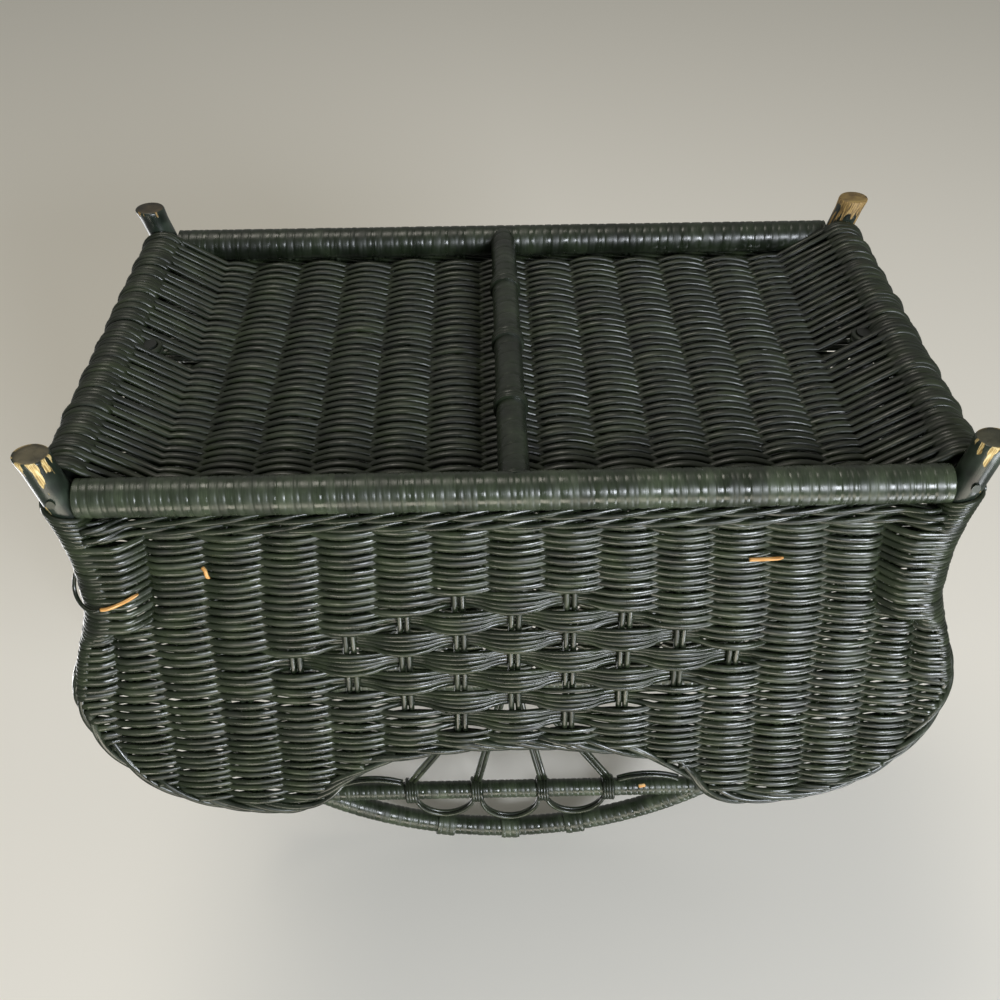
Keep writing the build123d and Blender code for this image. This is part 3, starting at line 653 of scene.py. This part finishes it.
# %% Base
def base_rows():
    """Row places from front to back, packed a little closer at the front."""
    gaps = np.linspace(2.75, 3.45, BASE_ROWS)
    y = np.cumsum(gaps)
    return (y - (y[0] + y[-1]) / 2) * (2 * BASE_HALF_WIDTH / (y[-1] - y[0]))


LEG_GAP, LEG_REACH, REACH = 5.2, 178.5, 164.0  # rows beside a leg, how far they go, and the others
ROLL_POINTS = 24


def turned_end(y, under, seed):
    """Turns round the right end rail, as angles from the inside of the rail round its outside.
    A taut reed leaves a round of radius r at acos(r / d) from the line to where it comes from,
    d away, so the angles run from 132 below to 140 above it, or from 98 above round to 148
    below. The radius swells and shrinks along the roll: r = R + bumps of up to 0.8 mm."""
    bumps = 0.45 * np.sin(y / 2.7 + seed) + 0.35 * np.sin(y / 4.9 + 2.1 * seed) + rng.normal(0, 0.12, len(y))
    r = (ROLL_RADIUS + bumps)[:, None]
    sweep = np.linspace(0, 1, ROLL_POINTS)
    angle = np.where(under[:, None], np.radians(-132 + 272 * sweep), np.radians(98 - 246 * sweep))
    turn_y = y[:, None] + rng.normal(0, 0.35, (len(y), 1)) * sweep + 1.3 * (sweep - 0.2)
    turn_y = np.clip(turn_y, -116.0, 116.0)
    return xyz(POST_X + r * np.cos(angle), turn_y, RAIL_Z + r * np.sin(angle))


def woven_base():
    """Rows as z = base + A s between smooth changes of side, with their turned ends. Beside the
    hoop's legs the rows stop, flat side by side, and closed rings go on round the rail. Over the
    slanted reeds lie the tucked ends of others."""
    y = base_rows()
    rows = len(y)
    table = (-1.0) ** (np.arange(rows)[:, None] + np.arange(-7, 8))
    beside_leg = np.abs(y) < LEG_GAP
    x = np.where(beside_leg, LEG_REACH, REACH)[:, None] * np.linspace(-1, 1, 96)
    s = strand_side(table, x / STAKE_PITCH)
    yy = y[:, None] + wobble(x, rows, 0.34) + rng.normal(0, 0.2, (rows, 1))
    flat = np.where(beside_leg[:, None], 1 - smooth((np.abs(x) - 160) / 7), 1)
    z = BASE_Z - (BASE_STAKE_RADIUS + BASE_WEFT_RADIUS) * s * flat + wobble(x, rows, 0.12)
    main = xyz(x, yy, z)
    under = np.arange(rows) % 2 == 0
    free = ~beside_leg
    right = turned_end(yy[:, -1], under, 1.3)
    left = (turned_end(yy[:, 0], under, 4.4) * TO_LEFT)[:, ::-1]
    turned = np.concatenate([left[free], main[free], right[free]], axis=1)
    half = 2.05 * (0.85 + 0.15 * s[free] ** 2)
    ends = np.full((free.sum(), ROLL_POINTS), 2.0)
    wide = np.concatenate([ends, half, ends], 1) / BASE_WEFT_RADIUS
    size = np.clip(rng.normal(1, 0.05, (free.sum(), 1)), 0.9, 1.1)
    x = turned[..., 0]
    aside = np.clip((np.abs(x) - 178) / 8, 0, 1) * (x - np.sign(x) * POST_X)
    up = xyz(aside, 0.0, np.where(np.abs(x) > 178, turned[..., 2] - RAIL_Z, -9.0))
    shapes = [tubes(turned, BASE_WEFT_RADIUS * size, 8, up, wide=wide)]
    shapes.append(tubes(main[~free], BASE_WEFT_RADIUS, 8, (0, 0, -1), wide=1.6))
    tucked = y[under & (np.abs(y) > 7.5)][:, None]
    along = np.linspace(162, 194, 12)[None]
    inner = xyz(along, tucked + wobble(along, len(tucked), 0.25), BASE_Z + 0.2)
    both = np.concatenate([inner, inner * TO_LEFT])
    shapes.append(tubes(both, 0.9 * BASE_WEFT_RADIUS, 8, (0, 0, -1), wide=1.5))
    a = circle(28)
    rings = []
    for place in (*y[beside_leg], -114.4, 114.4):
        r = rng.uniform(11.4, 12.1)
        ring = xyz(POST_X + r * np.cos(a), place, RAIL_Z + r * np.sin(a))
        rings += [ring, (ring * TO_LEFT)[::-1]]
    shapes.append(tubes(rings, 1.7, 8, (0, 1, 0), closed=True))
    r = LEG_RADIUS + 1.4
    heights = np.array([21.0, 23.8, 26.6, 29.4, 32.2])[:, None]
    right = xyz(LEG_X + r * np.cos(a), r * np.sin(a), heights)
    leg_turns = np.concatenate([right, (right * TO_LEFT)[:, ::-1]])
    shapes.append(tubes(leg_turns, 1.5, 8, (0, 0, 1), closed=True))
    return joined(shapes)


# The base weft's darker greens are painted shade.
make_piece("woven_base", woven_base(), base_paint_painted_shade, "painted_weft", "base_weave")
stake_x = STAKE_PITCH * np.arange(-6, 7)[:, None]
base_stakes = tubes(xyz(stake_x, [-120.0, 120.0], BASE_Z), BASE_STAKE_RADIUS, 8, (0, 0, 1))
make_piece("base_stake_reeds", base_stakes, stake_paint, "painted_stake", "base_stakes")

# %% [markdown]
# ## Woven divider
# The divider is plain weave over single stakes, turned round the two legs of the hoop.

# %% Divider
def woven_divider():
    """Rows as y = -P s at steady heights, where P grows from a stake's to a leg's radius in the
    last gap, with half a turn round the leg added at each end. The flat of the reed faces away
    from the divider along it, and away from the leg's middle round the leg."""
    z = np.arange(41.2, 261.6, 2.2)[:, None]
    rows = len(z)
    table = (-1.0) ** (np.arange(rows)[:, None] + np.arange(-8, 9))
    x = LEG_X * np.linspace(-1, 1, 100)[None]
    last = 6.0
    beyond = (np.abs(x) - last * STAKE_PITCH) / (LEG_X - last * STAKE_PITCH)
    u = np.where(beyond > 0, np.sign(x) * (last + beyond), x / STAKE_PITCH)
    s = strand_side(table, u)
    thin = BASE_STAKE_RADIUS + WEFT_RADIUS
    wrap = LEG_RADIUS + 0.2 + WEFT_RADIUS
    proud = thin + (wrap - thin) * smooth(np.abs(u) - last)
    main = xyz(x, -proud * s, z + wobble(x, rows, 0.2))
    turn = np.linspace(0.12, 1.1, 9) * np.pi
    left, right = (xyz(end * (LEG_X + wrap * np.sin(turn)), -table[:, [8 + 7 * end]] * wrap * np.cos(turn), z)
                   for end in (-1, 1))
    paths = np.concatenate([left[:, ::-1], main, right], 1)
    x = paths[..., 0]
    up = xyz(np.where(np.abs(x) > 170, x - np.sign(x) * LEG_X, 0), paths[..., 1] + 0.01, 0.0)
    return tubes(paths, WEFT_RADIUS, 6, up, wide=1.4)


make_piece("woven_divider", woven_divider(), weft_paint, "painted_weft", "divider_weave")
divider_stakes = tubes(xyz(stake_x, 0.0, [39.6, 262.4]), BASE_STAKE_RADIUS, 8)
make_piece("divider_stake_reeds", divider_stakes, stake_paint, "painted_stake", "divider_stakes")

# %% [markdown]
# ## Wound cane
# Rails, bars and hoop are wound with a strip of split cane. The strip's back is rounded, so
# the sleeve is a radius that dips to a narrow groove where one turn meets the next. Which turn
# a point is on follows from how far along it is, less its angle as a part of a turn, and the
# turns are a little unequal because they were laid by hand.

# %% Wound sleeve
def wound(path, radius, turn_mm, groove=0.4, sides=20, per_turn=8, up=(0, 1, 0), uneven=0.25, sharp=4):
    """Radius = R - g |2f - 1|^sharp - 0.15 h, with f the place across the strip from edge to edge
    and h a height from 0 to 1 for each turn, which a sine with a large factor makes look random."""
    path = np.asarray(path, float)
    total = lengths(path)[-1]
    even = np.linspace(0, total, max(int(total / turn_mm * per_turn), 8))
    line = resampled(path, even)
    widths = turn_mm * np.clip(rng.normal(1, uneven, int(total / turn_mm) + 6), 0.6, 1.5)
    widths = widths * (total + 4 * turn_mm) / widths.sum()
    edges = np.concatenate([[-2 * turn_mm], -2 * turn_mm + np.cumsum(widths)])
    place = np.interp(even[:, None] - turn_mm * circle(sides) / (2 * np.pi), edges, np.arange(len(edges)))
    turn = np.floor(place)
    height = np.modf(np.sin(turn * 78.233) * 15731.743)[0] * 0.5 + 0.5
    drop = groove * np.abs(2 * (place - turn) - 1) ** sharp + 0.15 * height
    shape = tubes(line[None], 1.0, sides, up)
    centre = np.repeat(line, sides, axis=0)
    co = centre + (shape["co"] - centre) * (radius - drop).reshape(-1, 1)
    tone = np.modf(np.sin(turn * 12.9898) * 43758.5453)[0].ravel() * 0.5 + 0.5
    return dict(shape, co=co, grain=shape["grain"][:, [2, 0, 1]] * (1, 0.9, 0.9), tone=tone)


rail_path = [(-192.0, -RAIL_Y, RAIL_Z), (192.0, -RAIL_Y, RAIL_Z)]
fine_turns = wound(rail_path, RAIL_SLEEVE_RADIUS, 3.7, 0.34, uneven=0.35, sharp=6)
make_piece("front_rail_winding", fine_turns, cane_paint, "painted_cane", "front_rail_cane")
broad_turns = wound(rail_path, RAIL_SLEEVE_RADIUS, 5.0, 0.42, per_turn=10, uneven=0.35, sharp=6)
broad_turns = mirrored(broad_turns, TO_BACK)
# The back rail's winding takes the darker copy of the cane enamel, as painted shade.
make_piece("back_rail_winding", broad_turns, cane_paint_painted_shade, "painted_cane", "back_rail_cane")

# %% Cross rail
# Its length and height come from the frame. It is wound with a broad flat strip.
cross_low, cross_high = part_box("cross_rail_cane")
cross_z = (cross_low[2] + cross_high[2]) * 500
cross_half = cross_high[1] * 1000
cross_path = [(0, -cross_half, cross_z), (0, cross_half, cross_z)]
flat_turns = wound(cross_path, 7.2, 10.5, 0.45, 20, 16, (1, 0, 0), 0.15, 12)
# The cross rail and its rings take the darker copy of the cane enamel, as painted shade.
make_piece("cross_rail_winding", flat_turns, cane_paint_painted_shade, "painted_cane", "cross_rail_cane")


def short_turns(centre, along, radius, width, strip, up):
    """A few turns of strip as one closed collar, width mm long along the given direction."""
    centre, along = np.array(centre, float), np.array(along, float)
    return wound([centre - along * width / 2, centre + along * width / 2], radius, strip, 0.45, 20, 10, up)


rings = [short_turns((0, y, cross_z), (0, 1, 0), 8.5, 7.0, 3.5, (1, 0, 0)) for y in (-60, 0, 60)]
make_piece("cross_rail_rings", joined(rings), cane_paint_painted_shade, "painted_cane", "cross_rail_bindings")

# %% Hoop and bars
def hoop_line(z_from):
    """Leg, shoulder arc, crown arc, shoulder arc, leg, as points about 2 mm apart."""
    shoulder_x = LEG_X - SHOULDER_RADIUS
    shoulder_z = CROWN_Z + math.sqrt((CROWN_RADIUS - SHOULDER_RADIUS)**2 - shoulder_x**2)
    turn = math.atan2(shoulder_z - CROWN_Z, shoulder_x)
    leg_z = np.arange(z_from, shoulder_z, 2.0)
    leg = np.stack([np.full_like(leg_z, LEG_X), leg_z], -1)
    a = np.linspace(0, turn, 60)
    shoulder = (shoulder_x, shoulder_z) + SHOULDER_RADIUS * np.stack([np.cos(a), np.sin(a)], -1)
    b = np.linspace(turn, np.pi / 2, 120)[1:]
    crown = (0, CROWN_Z) + CROWN_RADIUS * np.stack([np.cos(b), np.sin(b)], -1)
    half = np.concatenate([leg, shoulder, crown])
    both = np.concatenate([half, half[-2::-1] * (-1, 1)])
    return np.insert(both, 1, 0.0, axis=1)


hoop_turns = wound(hoop_line(263.0), HOOP_SLEEVE_RADIUS, 4.2, 0.4, 18, 7)
make_piece("hoop_winding", hoop_turns, cane_paint, "painted_cane", "hoop_cane")
bar_reach = math.sqrt(CROWN_RADIUS**2 - (BAR_Z - CROWN_Z)**2) - 4
for name, end, z in (("inner_bar", bar_reach, BAR_Z), ("lower_bar", LEG_X - 4, LOWER_BAR_Z)):
    bar_turns = wound([(-end, 0, z), (end, 0, z)], BAR_SLEEVE_RADIUS, 4.0, 0.4, 16)
    make_piece(name + "_winding", bar_turns, cane_paint, "painted_cane", name + "_cane")

# %% Bindings, knots, spokes and loops
def hoop_bindings():
    """Three collars square to the crown's arc, at x and the height of the arc there."""
    shapes = []
    for x in (-45.0, 0.0, 45.0):
        rise = math.sqrt(CROWN_RADIUS**2 - x**2)
        along = np.array((rise, 0, -x)) / CROWN_RADIUS
        shapes.append(short_turns((x, 0, CROWN_Z + rise), along, 8.35, 12.5, 4.2, (0, 1, 0)))
    return joined(shapes)


make_piece("hoop_binding_turns", hoop_bindings(), cane_paint, "painted_cane", "hoop_bindings")


def knot_turns():
    """Each knot is a helix of reed: four turns side by side round the bar."""
    a, r = np.linspace(0, 8 * np.pi, 72), 7.6
    x = KNOT_X[:, None] + np.linspace(-3.7, 3.7, 72)
    return tubes(xyz(x, r * np.cos(a), BAR_Z + r * np.sin(a)), 1.25, 7, (1, 0, 0))


make_piece("bar_knots", knot_turns(), stake_paint, "painted_cane", "knots")


def spoke_pairs():
    """Straight pairs from the lower bar to each knot, each reed 1.62 mm beside the pair's line."""
    foot = xyz(7.0 * (np.arange(4) - 1.5), 0.0, LOWER_BAR_Z + 6.4)
    head = xyz(KNOT_X, 0.0, BAR_Z - 8.6)
    aside = unit(head - foot)[:, [2, 1, 0]] * (1.62, 0, -1.62)
    aside = np.stack([-aside, aside], 1)
    start, end = foot[:, None] + aside, head[:, None] + aside
    paths = start[:, :, None] + (end - start)[:, :, None] * np.linspace(0.012, 0.988, 14)[:, None]
    return tubes(paths.reshape(8, 14, 3), 1.5, 8)


make_piece("fan_spokes", spoke_pairs(), stake_paint, "painted_stake", "spokes")


def arc_through(start, middle, end, points):
    """Points of the circle through three points of the X-Z plane."""
    (x1, z1), (x2, z2), (x3, z3) = start, middle, end
    m = np.array([[x2 - x1, z2 - z1], [x3 - x2, z3 - z2]])
    v = np.array([(x2**2 - x1**2 + z2**2 - z1**2) / 2, (x3**2 - x2**2 + z3**2 - z2**2) / 2])
    cx, cz = np.linalg.solve(m, v)
    angles = np.unwrap([math.atan2(z - cz, x - cx) for x, z in (start, middle, end)])
    a = np.linspace(angles[0], angles[2], points)
    r = math.hypot(x1 - cx, z1 - cz)
    return xyz(cx + r * np.cos(a), 0.0, cz + r * np.sin(a))


def reed_loops():
    """Pairs of reeds arched from knot to knot under the hoop, and out to its ends under the bar."""
    arches = []
    foot, low = BAR_Z + 9.3, BAR_Z - 7.8
    for left, right in zip(KNOT_X, KNOT_X[1:]):
        middle = (left + right) / 2
        top = CROWN_Z + math.sqrt(CROWN_RADIUS**2 - middle**2) - 10.9
        arches.append(arc_through((left + 2.5, foot), (middle, top), (right - 2.5, foot), 22))
    for side in (-1, 1):
        arches.append(arc_through((side * 73.6, low), (side * 94.5, low - 4.5), (side * 115.4, low), 22))
    paths = np.concatenate([np.array(arches) + (0, y, 0) for y in (-1.45, 1.45)])
    return tubes(paths, 1.3, 8)


make_piece("reed_loops", reed_loops(), stake_paint, "painted_stake", "loops")

# %% [markdown]
# ## Damage
# A few reeds have snapped. Their ends stand off the weave, and where the enamel is gone they
# show the straw-yellow of the reed. Each is a short curve given by a few points in millimetres.

# %% Bare reed
def bare_reed(name, hexes):
    """Reed without paint: straw-yellow with long fine fibres, dry and rough."""
    material, tree, shader, (fibre,) = new_material(name, (GRAIN, 0.5, 0.05, 4.0))
    shade = add(tree, "MapRange", 0, {1: 0.3, 2: 0.7}, {0: fibre})
    link(tree, shader, {
        "Base Color": add(tree, "ValToRGB", 0, {"colours": hexes}, {0: shade}),
        "Normal": add(tree, "Bump", 0, {"Strength": 0.4, "Distance": 0.0002}, {"Height": fibre}),
    })
    shader.inputs["Roughness"].default_value = 0.65
    return material


def curve_through(points, count=16):
    """A smooth curve through four points: Lagrange's cubic at t = 0, 1/3, 2/3 and 1."""
    t = np.linspace(0, 1, count)[:, None]
    knots = np.array([0, 1 / 3, 2 / 3, 1])
    rests = [np.delete(knots, i) for i in range(4)]
    return sum(point * np.prod((t - rest) / (knot - rest), axis=1, keepdims=True)
               for point, knot, rest in zip(np.array(points), knots, rests))


# Each end as four points, each x, z and how proud of the side it stands.
SNAPPED = [[(201.0, 66, 1.5), (202.0, 75, 5.0), (197.0, 79.5, 10.4), (190.0, 79.5, 11.3)]]
BARE_ENDS = [
    [(190.0, 79.5, 11.3), (184.5, 78.3, 11.2), (178.0, 75.8, 9.8), (172.5, 73.6, 7.6)],
    [(142.0, 61.4, 4.2), (140.6, 63.0, 5.4), (140.4, 65.0, 5.6), (139.4, 67.0, 5.0)],
    [(-107.0, 62.3, 4.5), (-112.5, 62.1, 4.7), (-118.0, 61.9, 4.7), (-122.5, 61.6, 4.4)],
    [(-63.0, 200.2, 4.8), (-64.0, 200.0, 5.0), (-65.2, 199.8, 5.0), (-66.0, 199.6, 4.8)],
]


def snapped_reeds(ends, radius):
    """The ends as curves on the front side, tapered over their last seventh."""
    paths = on_side(*np.moveaxis([curve_through(end) for end in ends], -1, 0))
    taper = np.interp(np.linspace(0, 1, paths.shape[1]), (0, 0.85, 1), (1, 1, 0.5))
    return tubes(paths, radius * taper, 8, outward(paths[..., 2]))


straw = bare_reed("bare_reed_straw", ("#7a4f1e", "#c08a45", "#e8cf98"))
make_piece("snapped_painted_reeds", snapped_reeds(SNAPPED, 1.0), weft_paint, "painted_weft")
make_piece("snapped_bare_ends", snapped_reeds(BARE_ENDS, 0.95), straw, "painted_weft")

# %% [markdown]
# ## Posts
# Each post is one length of cane, bent so that its foot splays out. It is a stack of level rings
# whose radius wavers by about a hundredth, and the bare foot has taken the knocks.

# %% Posts
def bent_post():
    """The front right post: rings round its bent centre line, r = R w (1 + ripples). At the foot w
    makes a flat cut with a softened edge and a swelling above it."""
    foot, head = np.linspace(2.5, BEND_LOW, 26), np.linspace(BEND_LOW + 1, POST_TOP, 34)
    z = np.concatenate([[0.0, 0.0, 0.4, 1.2], foot, head, [POST_TOP]])[:, None]
    shrink = np.concatenate([[0.55, 0.93, 0.975, 1.0], np.ones(60), [0.6]])[:, None]
    flare = 1 + 0.09 * np.clip(1 - z / 7, 0, 1)
    a = circle(28)
    rough = 1 + 0.008 * np.sin(3 * a + z / 9) + 0.006 * np.sin(5 * a - z / 5)
    r = POST_RADIUS * shrink * flare * rough
    grain = xyz(r * np.cos(a), r * np.sin(a), z)
    co = grain + xyz(post_line(z), -RAIL_Y, 0.0)
    return shell(co[None], grain, 0.5)


for label, paint in post_paints.items():
    shape = bent_post()
    if label.startswith("back"):
        shape = mirrored(shape, TO_BACK)
    if label.endswith("left"):
        shape = mirrored(shape, TO_LEFT)
    make_piece(label + "_cane", shape, paint, "painted_post", label)

# %% Finish of the CAD pieces that stay
HIDDEN_CORES = ("front_rail", "back_rail", "right_end_rail", "left_end_rail", "cross_rail", "hoop",
                "inner_bar", "lower_bar")
# The hidden cores take the near-black enamel, which is painted shade in the gaps of the weave. The nails take
# the cane's enamel.
for node in HIDDEN_CORES + ("nails",):
    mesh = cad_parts[node].data
    mesh.materials.clear()
    mesh.materials.append(cane_paint if node == "nails" else core_paint_painted_shade)

# %% [markdown]
# ## Floor and table
# The basket stands on a pale floor. The photograph shows it turned over, with its hoop on a
# pale table, so a second plane lies against the hoop's top. Each plane is seen only from its
# own side and by the camera alone, so neither blocks the light of the other.

# %% Stage
def pale_plane(name, z, facing, colour):
    """A wide matt plane at height z in metres, seen from above (facing 1) or from below (-1), and
    clear elsewhere: its share is camera ray - backface, held at 0 or more."""
    mesh = bpy.data.meshes.new(name)
    half = 9.0
    corners = [(-half, -half, z), (half, -half, z), (half, half, z), (-half, half, z)]
    mesh.from_pydata(corners, [], [(0, 1, 2, 3) if facing > 0 else (3, 2, 1, 0)])
    material, tree, shader, _ = new_material(name + "_matt_paper")
    tree.nodes.remove(shader)
    matt = add(tree, "BsdfDiffuse", 0, {"Color": linear(colour)})
    seen, behind = add(tree, "LightPath", "Is Camera Ray"), add(tree, "NewGeometry", "Backfacing")
    share = add(tree, "Math", 0, {"operation": "SUBTRACT", "use_clamp": True}, {0: seen, 1: behind})
    mix = add(tree, "MixShader", links={0: share, 1: add(tree, "BsdfTransparent"), 2: matt})
    link(tree, tree.nodes["Material Output"], {"Surface": mix})
    mesh.materials.append(material)
    plane = placed(name, mesh)


CLEAR = 0.0005  # half a millimetre off the object, in metres
pale_plane("floor", -CLEAR, 1, "#d5d7df")
pale_plane("table", float(cad_high[2]) + CLEAR, -1, "#f2eee4")

# %% [markdown]
# ## Light and camera
# Soft studio light from both sides of the floor, because the basket is looked at from below
# in the photograph's view and from above in the others. The camera's place and turn come from
# fitting the four feet, the rails and the sides' outlines to the photograph.

# %% Light
MIDDLE = Vector((0.0, 0.0, 0.15))
world = bpy.data.worlds.new("studio")
bpy.context.scene.world = world
world.use_nodes = True
tree = world.node_tree
soft = tree.nodes["Background"]
soft.inputs["Color"].default_value = linear("#f4f4ee")
soft.inputs["Strength"].default_value = 0.30
shown = add(tree, "Background", 0, {"Color": linear("#dfe1e2"), "Strength": 1.0})
ray = add(tree, "LightPath", "Is Camera Ray")
mix = add(tree, "MixShader", links={0: ray, 1: soft.outputs[0], 2: shown})
link(tree, tree.nodes["World Output"], {"Surface": mix})


def lamp(name, place, width, height, power, colour):
    """A soft rectangle of light in metres and watts, turned to the middle of the basket."""
    light = bpy.data.lights.new(name, "AREA")
    light.shape = "RECTANGLE"
    light.size, light.size_y = width, height
    light.energy = power
    light.color = linear(colour)[:3]
    one = placed(name, light)
    one.location = place
    one.rotation_mode = "QUATERNION"
    one.rotation_quaternion = (MIDDLE - Vector(place)).to_track_quat("-Z", "Y")


lamp("window_below", (-0.9, -2.0, -0.6), 0.8, 0.6, 60, "#f1f6ff")
lamp("table_bounce", (0.1, -1.3, 0.8), 1.2, 0.5, 12, "#fff6e6")
lamp("ceiling_below", (0.4, 0.2, -1.9), 0.8, 0.8, 13, "#fff8ec")
lamp("window_above", (-1.2, -1.3, 1.7), 0.9, 0.8, 30, "#f8fbff")
lamp("fill_above", (1.6, 1.0, 1.3), 1.0, 1.0, 16, "#ffffff")

# %% Camera
def fitted_camera(place_mm, tilt, yaw, roll, lens):
    """A camera that looks along +Y turned up by tilt, with the picture's up along -Z. Yaw then
    turns it towards the picture's right, and roll turns the picture itself."""
    c, s = math.cos(tilt), math.sin(tilt)
    right, ahead, up = np.array([-1.0, 0, 0]), np.array([0, c, s]), np.array([0, s, -c])
    turned_ahead = ahead * math.cos(yaw) + right * math.sin(yaw)
    turned_right = right * math.cos(yaw) - ahead * math.sin(yaw)
    final_right = turned_right * math.cos(roll) + up * math.sin(roll)
    final_up = up * math.cos(roll) - turned_right * math.sin(roll)
    data = bpy.data.cameras.new("camera")
    data.lens, data.sensor_width = lens, 36.0
    camera = placed("camera", data)
    axes = np.column_stack([final_right, final_up, -turned_ahead])
    camera.matrix_world = Matrix.Translation(Vector(place_mm) * 0.001) @ Matrix(axes.tolist()).to_4x4()
    data.clip_start = 0.01
    bpy.context.scene.camera = camera


TILT, YAW, ROLL = (math.radians(v) for v in (37.28, 0.572, -1.019))
fitted_camera((11.97, -564.66, -305.64), TILT, YAW, ROLL, 45.0)
bpy.context.scene.view_settings.view_transform = "Standard"
